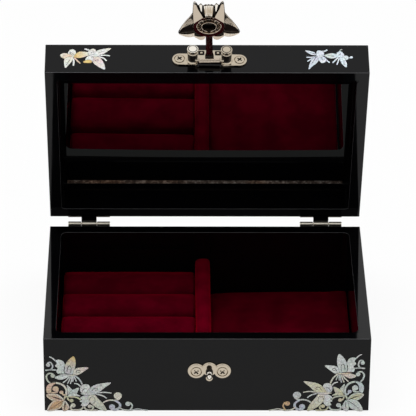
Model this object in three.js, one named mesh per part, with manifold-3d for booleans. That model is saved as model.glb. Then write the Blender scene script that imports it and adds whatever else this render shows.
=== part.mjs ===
// A mirrored lacquer jewelry box with mother of pearl sprays, shown with its lid open.
// Millimetres, +X to the right, +Y to the back, +Z up. The origin is the centre of the felt underside.
import * as THREE from "three";
import { mergeVertices } from "three/addons/utils/BufferGeometryUtils.js";
import Module from "manifold-3d";

const wasm = await Module();
wasm.setup();

// Carcass
const boxWidth = 200;
const boxDepth = 132;
const bodyHeight = 54;
const lidHeight = 24.5;
const wallThickness = 7.5;
const innerCornerRadius = 4;
const seamGap = 0.4;
const lidAngle = THREE.MathUtils.degToRad(72.3);

// Boards, felt and fitting gaps
const feltThickness = 1;
const feltInset = 4;
const baseThickness = 5;
const boardGap = 0.2;
const turnedGap = 0.3;
const lidPanelThickness = 2.2;
const backingThickness = 0.4;
const mirrorThickness = 1.0;
const mirrorSideMargin = 3.3;
const mirrorEndMargin = 2.6;
const backingShow = 2.2;

// Velvet fittings
const dividerThickness = 9.4;
const dividerX = -1.6;
const dividerDrop = 19.2;
const dividerRound = 2.6;
const velvetGap = 0.4;
const ringBoardThickness = 2.5;
const rollCount = 4;
const rollGap = 0.5;
const rollDrop = 23;
const rollBackGap = 2.5;
const rollFrontGap = 8.5;
const floorPadThin = 2.6;
const floorPadRise = 2.6;

// Hinges
const hingeBehind = 6.5;
const hingeBelow = 2;
const hingeFromEnd = 25;
const hingeWidth = 27;
const centreKnuckle = 9.8;
const knuckleGap = 0.3;
const knuckleRadius = 1.45;
const hingePinRadius = 0.7;
const pinClearance = 0.1;
const leafThickness = 0.9;
const leafHeight = 13;
const leafBelowRim = 3;
const leafAboveRim = 0.8;
const armSetback = 0.35;
const hingeScrewFromEnd = 5;

// Screws
const smallScrew = { head: 1.9, dome: 0.7, shank: 0.9, length: 5.5 };
const claspScrew = { head: 3.1, dome: 0.8, shank: 1.2, length: 6 };
const screwGap = 0.3;
const crossWidth = 0.55;
const crossShare = 0.62;
const crossDepth = 0.45;

// Catch on the body's front
const claspX = 1.4;
const catchHeight = 30.6;
const catchLobeX = 8;
const catchLobeRadius = 5.2;
const catchMiddleRadius = 4.7;
const catchMiddleRise = 1.2;
const catchTipRadius = 2.4;
const catchTipDrop = 5.6;
const catchThickness = 1.3;
const hookLength = 7;
const hookBaseRadius = 2.1;
const hookNeckRadius = 1.3;
const hookBallRadius = 1.75;

// Clasp on the lid's front
const claspPlateWidth = 45.5;
const claspPlateHeight = 9.4;
const claspPlateThickness = 1.2;
const claspPlateRise = 9.3;
const claspTabWidth = 16;
const claspTabRise = 6.2;
const claspScrewX = 18.3;
const postX = 10.4;
const postRadius = 3.25;
const postHeight = 8.5;
const pivotRise = 7.2;
const pivotStand = 3.4;
const claspPinRadius = 0.8;
const barrelRadius = 1.6;
const barrelLength = 11.8;
const stemWidth = 4.5;
const stemThickness = 1.6;
const gussetReach = 6.5;

// Swinging ornament, measured from the pivot along the stem
const eyeReach = 30.9;
const eyeRadius = 3.7;
const hubRadius = 5.1;
const dishRadius = 8.5;
const rimRadius = 9.7;
const ornamentFront = 1.8;
const ornamentBack = 1;
const dishFloor = 1.1;
const castUnit = 1;

// Mother of pearl
const pearlThickness = 0.3;
const pearlUnit = 1;
const sprayBottom = 1.4;
const sprayScale = 0.965;

const innerX = boxWidth / 2 - wallThickness;
const innerY = boxDepth / 2 - wallThickness;
const lidBottom = bodyHeight + seamGap;
const lidTop = bodyHeight + lidHeight;
const hingeY = boxDepth / 2 + hingeBehind;
const hingeZ = bodyHeight - hingeBelow;
const baseTop = feltThickness + baseThickness;
const hingeX = boxWidth / 2 - hingeFromEnd;
const hingeScrewSpread = hingeWidth / 2 - hingeScrewFromEnd;
const rollPitch = (2 * innerY - rollBackGap - rollFrontGap) / rollCount;

const lacquer = new THREE.MeshStandardMaterial({ color: 0x0b0b0c, roughness: 0.08, metalness: 0 });
const board = new THREE.MeshStandardMaterial({ color: 0x7a7268, roughness: 0.9, metalness: 0 });
const velvet = new THREE.MeshStandardMaterial({ color: 0x5a0416, roughness: 0.95, metalness: 0 });
const felt = new THREE.MeshStandardMaterial({ color: 0x17171a, roughness: 1, metalness: 0 });
const glass = new THREE.MeshStandardMaterial({ color: 0xe4e8e8, roughness: 0.02, metalness: 1 });
const nickel = new THREE.MeshStandardMaterial({ color: 0xcfc6b4, roughness: 0.14, metalness: 1 });
const pearl = new THREE.MeshStandardMaterial({ color: 0xd3dccf, roughness: 0.25, metalness: 0.1 });

// Geometry to solid and back
function solidOf(geometry) {
  const bare = geometry.index ? geometry.toNonIndexed() : geometry.clone();
  bare.deleteAttribute("normal");
  bare.deleteAttribute("uv");
  const merged = mergeVertices(bare, 1e-4);
  return new wasm.Manifold(
    new wasm.Mesh({
      numProp: 3,
      vertProperties: merged.attributes.position.array,
      triVerts: new Uint32Array(merged.index.array),
    }),
  );
}

function geometryOf(solid) {
  const mesh = solid.getMesh();
  const geometry = new THREE.BufferGeometry();
  geometry.setAttribute("position", new THREE.BufferAttribute(mesh.vertProperties, 3));
  geometry.setIndex(new THREE.BufferAttribute(mesh.triVerts, 1));
  geometry.computeVertexNormals();
  return geometry;
}

function join(geometries) {
  return geometryOf(geometries.map(solidOf).reduce((all, next) => all.add(next)));
}

function cut(geometry, tools) {
  return geometryOf(tools.map(solidOf).reduce((left, tool) => left.subtract(tool), solidOf(geometry)));
}

function add(group, name, geometry, material) {
  const mesh = new THREE.Mesh(geometry, material);
  mesh.name = name;
  group.add(mesh);
  return mesh;
}

// Basic solids, placed by their limits
function slab(x0, x1, y0, y1, z0, z1) {
  const geometry = new THREE.BoxGeometry(x1 - x0, y1 - y0, z1 - z0);
  return geometry.translate((x0 + x1) / 2, (y0 + y1) / 2, (z0 + z1) / 2);
}

function rodX(radius, x0, x1, y, z, sides = 20) {
  const geometry = new THREE.CylinderGeometry(radius, radius, x1 - x0, sides);
  return geometry.rotateZ(Math.PI / 2).translate((x0 + x1) / 2, y, z);
}

function rodY(radius, y0, y1, x, z, sides = 20) {
  const geometry = new THREE.CylinderGeometry(radius, radius, y1 - y0, sides);
  return geometry.translate(x, (y0 + y1) / 2, z);
}

function prism(shape, depth, curveSegments = 8) {
  return new THREE.ExtrudeGeometry(shape, { depth, bevelEnabled: false, curveSegments });
}

// A flat outline stood up on a front face: its y becomes height and its depth comes forwards.
function standUp(geometry, x, y, z) {
  return geometry.rotateX(Math.PI / 2).translate(x, y, z);
}

function circleShape(x, y, radius) {
  return new THREE.Shape().absarc(x, y, radius, 0, 2 * Math.PI);
}

function polygon(points) {
  return new THREE.Shape(points.map(([x, y]) => new THREE.Vector2(x, y)));
}

function roundedRectangle(x0, x1, y0, y1, radius) {
  const shape = new THREE.Shape();
  shape.absarc(x1 - radius, y0 + radius, radius, -Math.PI / 2, 0);
  shape.absarc(x1 - radius, y1 - radius, radius, 0, Math.PI / 2);
  shape.absarc(x0 + radius, y1 - radius, radius, Math.PI / 2, Math.PI);
  shape.absarc(x0 + radius, y0 + radius, radius, Math.PI, (3 * Math.PI) / 2);
  return shape;
}

// Plan of one wall, mitred at both ends, with half of each rounded inner corner
function wallPlan(length) {
  const mitre = innerCornerRadius * (1 - Math.SQRT1_2);
  const half = length / 2;
  const arcX = half - wallThickness - innerCornerRadius;
  const arcY = wallThickness + innerCornerRadius;
  const shape = new THREE.Shape();
  shape.moveTo(-half, 0);
  shape.lineTo(half, 0);
  shape.lineTo(half - wallThickness - mitre, wallThickness + mitre);
  shape.absarc(arcX, arcY, innerCornerRadius, -Math.PI / 4, -Math.PI / 2, true);
  shape.absarc(-arcX, arcY, innerCornerRadius, -Math.PI / 2, (-3 * Math.PI) / 4, true);
  return shape;
}

// Four walls from z0 to z1, with the holes that go into the front and the back
function addWalls(group, prefix, z0, z1, frontHoles, backHoles) {
  const sides = [
    ["front_wall", boxWidth, boxDepth / 2, 0, frontHoles],
    ["right_wall", boxDepth, boxWidth / 2, Math.PI / 2, []],
    ["back_wall", boxWidth, boxDepth / 2, Math.PI, backHoles],
    ["left_wall", boxDepth, boxWidth / 2, -Math.PI / 2, []],
  ];
  for (const [name, length, distance, turn, holes] of sides) {
    const wall = prism(wallPlan(length), z1 - z0, 5).translate(0, -distance, z0).rotateZ(turn);
    add(group, prefix + name, holes.length ? cut(wall, holes) : wall, lacquer);
  }
}

function boardShape(gap) {
  const x = innerX - gap;
  const y = innerY - gap;
  return roundedRectangle(-x, x, -y, y, innerCornerRadius);
}

// A domed screw that points along +Y, its head's seat at y = 0, with a cross recess
function screw(size) {
  const profile = [
    [0, size.length],
    [size.shank, size.length - size.shank],
    [size.shank, 0],
    [size.head, 0],
    [size.head * 0.86, -size.dome * 0.75],
    [0, -size.dome],
  ];
  const points = profile.map(([x, y]) => new THREE.Vector2(x, y));
  const turned = new THREE.LatheGeometry(points.reverse(), 12);
  const arm = size.head * crossShare;
  const blade = crossWidth / 2;
  const floor = -size.dome + crossDepth;
  const recess = [
    slab(-arm, arm, -2 * size.dome, floor, -blade, blade),
    slab(-blade, blade, -2 * size.dome, floor, -arm, arm),
  ];
  return cut(turned, recess);
}

function screwHole(size, x, faceY, z, inwards) {
  const reach = size.length + screwGap;
  const y0 = inwards > 0 ? faceY - 1 : faceY - reach;
  const y1 = inwards > 0 ? faceY + reach : faceY + 1;
  return rodY(size.shank + screwGap, y0, y1, x, z, 12);
}

// Body: felt, base board, walls
function addCase(group) {
  const feltX = boxWidth / 2 - feltInset;
  const feltY = boxDepth / 2 - feltInset;
  const feltShape = roundedRectangle(-feltX, feltX, -feltY, feltY, innerCornerRadius);
  add(group, "base_felt", prism(feltShape, feltThickness), felt);
  const base = prism(boardShape(boardGap), baseThickness).translate(0, 0, feltThickness);
  add(group, "base_board", base, lacquer);
  const frontHoles = [-1, 1].map((side) =>
    screwHole(claspScrew, claspX + side * catchLobeX, -boxDepth / 2, catchHeight, 1),
  );
  const backHoles = hingeScrewPlaces("body").map(([x, z]) => screwHole(smallScrew, x, boxDepth / 2, z, -1));
  addWalls(group, "", feltThickness, bodyHeight, frontHoles, backHoles);
}

// Velvet divider, board and padded floor
function addVelvet(group) {
  const left = dividerX - dividerThickness / 2;
  const right = dividerX + dividerThickness / 2;
  const dividerTop = bodyHeight - dividerDrop;
  const section = new THREE.Shape();
  section.moveTo(left, baseTop);
  section.lineTo(right, baseTop);
  section.absarc(right - dividerRound, dividerTop - dividerRound, dividerRound, 0, Math.PI / 2);
  section.absarc(left + dividerRound, dividerTop - dividerRound, dividerRound, Math.PI / 2, Math.PI);
  const dividerLength = 2 * (innerY - velvetGap);
  const divider = prism(section, dividerLength, 5).rotateX(Math.PI / 2);
  add(group, "divider", divider.translate(0, dividerLength / 2, 0), velvet);

  const boardLeft = -innerX + velvetGap;
  const boardRight = left - velvetGap;
  const boardY = innerY - velvetGap;
  const tray = slab(boardLeft, boardRight, -boardY, boardY, baseTop, baseTop + ringBoardThickness);
  add(group, "ring_tray_board", trimCorners(tray), velvet);
  for (let i = 0; i < rollCount; i += 1) {
    const y = innerY - rollBackGap - rollPitch * (i + 0.5);
    add(group, `ring_roll_${i + 1}`, ringRoll(boardLeft, boardRight, y), velvet);
  }
  add(group, "floor_pad", floorPad(right + velvetGap, innerX - velvetGap, boardY), velvet);
}

// Keeps a fitting clear of the rounded inner corners
function trimCorners(geometry) {
  const room = prism(boardShape(velvetGap), bodyHeight);
  return geometryOf(solidOf(geometry).intersect(solidOf(room)));
}

// One padded roll: a flat foot, sides that pull in, a round crown and drawn in ends
function ringRoll(x0, x1, y) {
  const foot = baseTop + ringBoardThickness;
  const height = bodyHeight - rollDrop - foot;
  const halfWidth = (rollPitch - rollGap) / 2;
  const shoulder = 0.3;
  const footPull = 0.07;
  const endPull = 0.05;
  const geometry = new THREE.BoxGeometry(2, 2, 1, 8, 10, 6);
  const position = geometry.attributes.position;
  for (let i = 0; i < position.count; i += 1) {
    const along = position.getX(i);
    const across = position.getY(i);
    const up = position.getZ(i) + 0.5;
    const end = 1 - endPull * along ** 8;
    const crown = Math.max(0, (up - shoulder) / (1 - shoulder));
    const below = Math.max(0, 1 - up / shoulder);
    const wide = across * Math.sqrt(1 - crown ** 2 / 2) * (1 - footPull * below ** 2);
    const tall = crown > 0 ? shoulder + (1 - shoulder) * crown * Math.sqrt(1 - across ** 2 / 2) : up;
    const long = along * (1 - 0.012 * crown ** 2);
    position.setXYZ(
      i,
      (x0 + x1) / 2 + (long * (x1 - x0)) / 2,
      y + wide * halfWidth * end,
      foot + tall * height * (1 - (1 - end) * crown),
    );
  }
  return geometry;
}

// Velvet over a card that lies a little higher on the right
function floorPad(x0, x1, halfY) {
  const geometry = new THREE.BoxGeometry(x1 - x0, 2 * halfY, 1, 8, 8, 1);
  geometry.translate((x0 + x1) / 2, 0, 0.5);
  const position = geometry.attributes.position;
  const edge = 0.35;
  for (let i = 0; i < position.count; i += 1) {
    const x = position.getX(i);
    const y = position.getY(i);
    const share = (x - x0) / (x1 - x0);
    const rim = Math.max(Math.abs(2 * share - 1), Math.abs(y) / halfY) > 0.99 ? edge : 0;
    const top = floorPadThin + floorPadRise * share ** 1.5 - rim;
    position.setZ(i, baseTop + position.getZ(i) * top);
  }
  return trimCorners(geometry);
}

// Where the hinge screws sit on the back: body leaves below the seam, lid leaves above it
function hingeScrewPlaces(side) {
  const fromSeam = leafHeight / 2;
  const z = side === "body" ? bodyHeight - leafBelowRim - fromSeam : lidBottom + leafAboveRim + fromSeam;
  const places = [];
  for (const centre of [-hingeX, hingeX]) {
    places.push([centre - hingeScrewSpread, z], [centre + hingeScrewSpread, z]);
  }
  return places;
}

// Section of a leaf in the Y and Z plane, carried along X from x0 to x1
function leafPiece(points, x0, x1) {
  const geometry = prism(polygon(points), x1 - x0);
  return geometry.applyMatrix4(new THREE.Matrix4().set(0, 0, 1, x0, 1, 0, 0, 0, 0, 1, 0, 0, 0, 0, 0, 1));
}

function knuckleLimits(centre) {
  const half = hingeWidth / 2;
  const inner = centreKnuckle / 2;
  return {
    outer: [
      [centre - half, centre - inner - knuckleGap],
      [centre + inner + knuckleGap, centre + half],
    ],
    middle: [[centre - inner, centre + inner]],
  };
}

function leafHoles(centre, side) {
  return hingeScrewPlaces(side)
    .filter(([x]) => Math.abs(x - centre) < hingeWidth)
    .map(([x, z]) => rodY(smallScrew.shank + screwGap, boxDepth / 2 - 1, hingeY, x, z, 12));
}

function bore(centre) {
  const half = hingeWidth / 2 + 1;
  return rodX(hingePinRadius + pinClearance, centre - half, centre + half, hingeY, hingeZ, 16);
}

// Body leaf: a plate on the back wall, and a shelf that carries the outer knuckles
function bodyLeaf(centre) {
  const face = boxDepth / 2;
  const top = hingeZ - knuckleRadius + leafThickness;
  const plateFoot = bodyHeight - leafBelowRim - leafHeight;
  const plate = [
    [face, plateFoot],
    [face + leafThickness, plateFoot],
    [face + leafThickness, top],
    [face, top],
  ];
  const shelf = [
    [face, top - leafThickness],
    [hingeY, top - leafThickness],
    [hingeY, top],
    [face, top],
  ];
  const half = hingeWidth / 2;
  const pieces = [leafPiece(plate, centre - half, centre + half), leafPiece(shelf, centre - half, centre + half)];
  for (const [x0, x1] of knuckleLimits(centre).outer) {
    pieces.push(rodX(knuckleRadius, x0, x1, hingeY, hingeZ));
  }
  const notchHalf = centreKnuckle / 2 + knuckleGap;
  const notch = rodX(knuckleRadius + knuckleGap, centre - notchHalf, centre + notchHalf, hingeY, hingeZ);
  return cut(join(pieces), [notch, bore(centre), ...leafHoles(centre, "body")]);
}

// Lid leaf, drawn with the lid shut: a plate on the lid's back wall and an arm to the middle knuckle
function lidLeaf(centre) {
  const face = boxDepth / 2;
  const foot = lidBottom + leafAboveRim;
  const armTop = hingeZ + knuckleRadius;
  const plate = [
    [face, foot],
    [face + leafThickness, foot],
    [face + leafThickness, foot + leafHeight],
    [face, foot + leafHeight],
  ];
  const near = face + armSetback;
  const arm = [
    [near, armTop - leafThickness],
    [hingeY, armTop - leafThickness],
    [hingeY, armTop],
    [near + leafThickness, armTop],
    [near + leafThickness, foot + leafThickness],
    [near, foot + leafThickness],
  ];
  const half = hingeWidth / 2;
  const [x0, x1] = knuckleLimits(centre).middle[0];
  const pieces = [
    leafPiece(plate, centre - half, centre + half),
    leafPiece(arm, x0, x1),
    rodX(knuckleRadius, x0, x1, hingeY, hingeZ),
  ];
  return cut(join(pieces), [bore(centre), ...leafHoles(centre, "lid")]);
}

function addHinges(body, lid) {
  const half = hingeWidth / 2;
  for (const [word, centre] of [["left", -hingeX], ["right", hingeX]]) {
    add(body, `body_hinge_leaf_${word}`, bodyLeaf(centre), nickel);
    const pin = rodX(hingePinRadius, centre - half, centre + half, hingeY, hingeZ, 16);
    add(body, `hinge_pin_${word}`, pin, nickel);
    add(lid, `lid_hinge_leaf_${word}`, lidLeaf(centre), nickel);
  }
  for (const [side, group] of [["body", body], ["lid", lid]]) {
    hingeScrewPlaces(side).forEach(([x, z], i) => {
      const place = screw(smallScrew).rotateZ(Math.PI).translate(x, boxDepth / 2 + leafThickness, z);
      add(group, `${side}_hinge_screw_${i + 1}`, place, nickel);
    });
  }
}

// Catch plate with three lobes, its hook and two screws
function addCatch(group) {
  const face = -boxDepth / 2;
  const lobes = [
    [circleShape(-catchLobeX, 0, catchLobeRadius), 12],
    [circleShape(catchLobeX, 0, catchLobeRadius), 12],
    [circleShape(0, catchMiddleRise, catchMiddleRadius), 12],
    [circleShape(0, -catchTipDrop, catchTipRadius), 10],
    [polygon([[-2.4, -4.6], [2.4, -4.6], [catchLobeX, 2.6], [-catchLobeX, 2.6]]), 1],
  ];
  const blank = join(lobes.map(([shape, segments]) => prism(shape, catchThickness, segments)));
  const holes = [-1, 1].map((side) => {
    const hole = prism(circleShape(side * catchLobeX, 0, claspScrew.shank + screwGap), 3 * catchThickness, 8);
    return hole.translate(0, 0, -catchThickness);
  });
  add(group, "catch_plate", standUp(cut(blank, holes), claspX, face, catchHeight), nickel);

  const profile = [
    [0, 0],
    [hookBaseRadius, 0],
    [hookBaseRadius, 1.6],
    [hookNeckRadius, 2.8],
    [hookNeckRadius, hookLength - 2.6],
    [hookBallRadius, hookLength - 1.7],
    [hookBallRadius * 0.8, hookLength - 0.6],
    [0, hookLength],
  ];
  const hook = new THREE.LatheGeometry(profile.map(([x, y]) => new THREE.Vector2(x, y)), 16);
  hook.rotateX(Math.PI).translate(claspX, face - catchThickness, catchHeight);
  add(group, "catch_hook", hook, nickel);
  [-1, 1].forEach((side, i) => {
    const x = claspX + side * catchLobeX;
    const place = screw(claspScrew).translate(x, face - catchThickness, catchHeight);
    add(group, `catch_screw_${i + 1}`, place, nickel);
  });
}

// Lid, drawn shut: walls, panel, backing and mirror
function addLidBox(lid) {
  const frontHoles = [-1, 1].map((side) =>
    screwHole(claspScrew, claspX + side * claspScrewX, -boxDepth / 2, lidBottom + claspPlateRise, 1),
  );
  const backHoles = hingeScrewPlaces("lid").map(([x, z]) => screwHole(smallScrew, x, boxDepth / 2, z, -1));
  addWalls(lid, "lid_", lidBottom, lidTop, frontHoles, backHoles);
  const panelBottom = lidTop - lidPanelThickness;
  const panel = prism(boardShape(turnedGap), lidPanelThickness).translate(0, 0, panelBottom);
  add(lid, "lid_top_panel", panel, lacquer);
  const mirrorX = innerX - mirrorSideMargin;
  const mirrorY = innerY - mirrorEndMargin;
  const backingTop = panelBottom - turnedGap / 2;
  const backingBottom = backingTop - backingThickness;
  const backingEnd = mirrorY + backingShow;
  const backing = slab(-mirrorX, mirrorX, -mirrorY, backingEnd, backingBottom, backingTop);
  add(lid, "mirror_backing", backing, board);
  const mirrorTop = backingBottom - turnedGap / 2;
  const mirror = slab(-mirrorX, mirrorX, -mirrorY, mirrorY, mirrorTop - mirrorThickness, mirrorTop);
  add(lid, "mirror", mirror, glass);
}

// Turned post with a grooved neck and a flat polished head, standing along +Y from its foot
function post() {
  const profile = [
    [0, 0],
    [postRadius, 0],
    [postRadius, postHeight - 2.9],
    [postRadius * 0.8, postHeight - 2.5],
    [postRadius * 0.8, postHeight - 2.1],
    [postRadius, postHeight - 1.7],
    [postRadius, postHeight - 0.5],
    [postRadius * 0.86, postHeight],
    [0, postHeight],
  ];
  return new THREE.LatheGeometry(profile.map(([x, y]) => new THREE.Vector2(x, y)), 24);
}

// Clasp plate with two rivets, posts, pin and screws on the lid's front
function addClaspPlate(lid) {
  const face = -boxDepth / 2;
  const plateFront = face - claspPlateThickness;
  const middle = lidBottom + claspPlateRise;
  const halfWidth = claspPlateWidth / 2;
  const halfHeight = claspPlateHeight / 2;
  const half = roundedRectangle(-halfWidth, halfWidth, -halfHeight, halfHeight, halfHeight - 0.01);
  const tab = roundedRectangle(-claspTabWidth / 2, claspTabWidth / 2, 0, claspTabRise, 1.5);
  const rivetRise = claspTabRise - 2.3;
  const rivets = [-1, 1].map((side) =>
    prism(circleShape(side * claspTabWidth * 0.325, rivetRise, 1), claspPlateThickness + 0.8, 6),
  );
  const blank = join([prism(half, claspPlateThickness), prism(tab, claspPlateThickness, 3), ...rivets]);
  const holes = [-1, 1].map((side) => {
    const shape = circleShape(side * claspScrewX, 0, claspScrew.shank + screwGap);
    return prism(shape, 3 * claspPlateThickness, 8).translate(0, 0, -claspPlateThickness);
  });
  add(lid, "clasp_plate", standUp(cut(blank, holes), claspX, face, middle), nickel);

  const pinY = face - pivotStand;
  const pinZ = lidBottom + pivotRise;
  [["left", -1], ["right", 1]].forEach(([word, side]) => {
    const x = claspX + side * postX;
    const turned = post().rotateX(Math.PI).translate(x, plateFront, middle);
    const hole = rodX(claspPinRadius + pinClearance, x - 2 * postRadius, x + 2 * postRadius, pinY, pinZ, 16);
    add(lid, `clasp_post_${word}`, cut(turned, [hole]), nickel);
    const screwX = claspX + side * claspScrewX;
    add(lid, `clasp_screw_${word}`, screw(claspScrew).translate(screwX, plateFront, middle), nickel);
  });
  const reach = postX + Math.sqrt(postRadius ** 2 - (claspPlateRise - pivotRise) ** 2) - 0.5;
  const pin = rodX(claspPinRadius, claspX - reach, claspX + reach, pinY, pinZ, 16);
  add(lid, "clasp_pin", pin, nickel);
}

// Hasp, drawn standing straight out from the lid's front. Its own y is minus the distance from the pivot.
function haspArm() {
  const half = barrelLength / 2;
  const narrow = stemWidth / 2;
  const end = eyeReach - rimRadius - 0.05;
  const shape = polygon([
    [-half, 0],
    [-half, -barrelRadius - 0.4],
    [-narrow, -gussetReach],
    [-narrow, -end],
    [narrow, -end],
    [narrow, -gussetReach],
    [half, -barrelRadius - 0.4],
    [half, 0],
  ]);
  const arm = prism(shape, stemThickness).translate(0, 0, -stemThickness / 2);
  const barrel = rodX(barrelRadius, -half, half, 0, 0);
  const hole = rodX(claspPinRadius + pinClearance, -half - 1, half + 1, 0, 0, 16);
  return cut(join([arm, barrel]), [hole]);
}

// Right half of the ornament's outline, from the middle of the fan round to the stem.
// Each point is x and the distance past the eye, so the foot by the stem is negative.
const castOutline = [
  [0, 19],
  [1.9, 18.4],
  [3.6, 19.2],
  [5.6, 18.8],
  [7.3, 22],
  [8.4, 22],
  [9.5, 20.6],
  [9.9, 14.8],
  [10.4, 10.9],
  [11.3, 10.9],
  [14.6, 3.9],
  [17.4, -2.4],
  [19.3, -6.5],
  [18.9, -7.6],
  [15.4, -8.2],
  [10.1, -9.5],
  [9.3, -11.8],
  [7.6, -13.7],
  [5.4, -14.1],
  [3.4, -12.9],
  [2.5, -10.6],
  [2.4, -9.7],
];

function haspOrnament() {
  const thickness = ornamentFront + ornamentBack;
  const place = (side) => ([x, past]) => [side * x * castUnit, -eyeReach - past * castUnit];
  const right = castOutline.map(place(1));
  const left = castOutline.slice(1).map(place(-1));
  const outline = prism(polygon([...right, ...left.reverse()]), thickness);
  const rim = prism(circleShape(0, -eyeReach, rimRadius), thickness, 12);
  const blank = join([outline, rim].map((solid) => solid.translate(0, 0, -ornamentBack)));
  const dish = new THREE.Shape().absarc(0, -eyeReach, dishRadius, 0, 2 * Math.PI);
  dish.holes.push(new THREE.Path().absarc(0, -eyeReach, hubRadius, 0, 2 * Math.PI, true));
  const dishCut = prism(dish, thickness, 12).translate(0, 0, ornamentFront - dishFloor - thickness);
  const eye = prism(circleShape(0, -eyeReach, eyeRadius), 3 * thickness, 12).translate(0, 0, -2 * ornamentBack);
  return cut(blank, [dishCut, eye]);
}

function addHasp(hasp) {
  add(hasp, "hasp_arm", haspArm(), nickel);
  add(hasp, "hasp_ornament", haspOrnament(), nickel);
}

// Mother of pearl: ribbons, leaves, blobs and balls in the plane of a face
function ribbon(points, startWidth, endWidth) {
  const curve = new THREE.CatmullRomCurve3(points.map(([x, y]) => new THREE.Vector3(x, y, 0)));
  const steps = points.length - 1;
  const left = [];
  const right = [];
  for (let i = 0; i <= steps; i += 1) {
    const point = curve.getPoint(i / steps);
    const tangent = curve.getTangent(i / steps);
    const half = THREE.MathUtils.lerp(startWidth, endWidth, i / steps) / 2;
    left.push([point.x - tangent.y * half, point.y + tangent.x * half]);
    right.push([point.x + tangent.y * half, point.y - tangent.x * half]);
  }
  return polygon([...left, ...right.reverse()]);
}

function leaf([x0, y0], [x1, y1], width) {
  const shape = new THREE.Shape();
  const sideX = (-(y1 - y0) / Math.hypot(x1 - x0, y1 - y0)) * width * 0.66;
  const sideY = ((x1 - x0) / Math.hypot(x1 - x0, y1 - y0)) * width * 0.66;
  const near = 0.25;
  const far = 0.7;
  const at = (share, side) => [x0 + (x1 - x0) * share + side * sideX, y0 + (y1 - y0) * share + side * sideY];
  shape.moveTo(x0, y0);
  shape.bezierCurveTo(...at(near, 1), ...at(far, 1), x1, y1);
  shape.bezierCurveTo(...at(far, -1), ...at(near, -1), x0, y0);
  return shape;
}

function blob(points) {
  const ring = points.map(([x, y]) => new THREE.Vector3(x, y, 0));
  const curve = new THREE.CatmullRomCurve3(ring, true);
  const round = curve.getPoints(Math.round(1.5 * points.length)).slice(0, -1);
  return polygon(round.map((point) => [point.x, point.y]));
}

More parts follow.
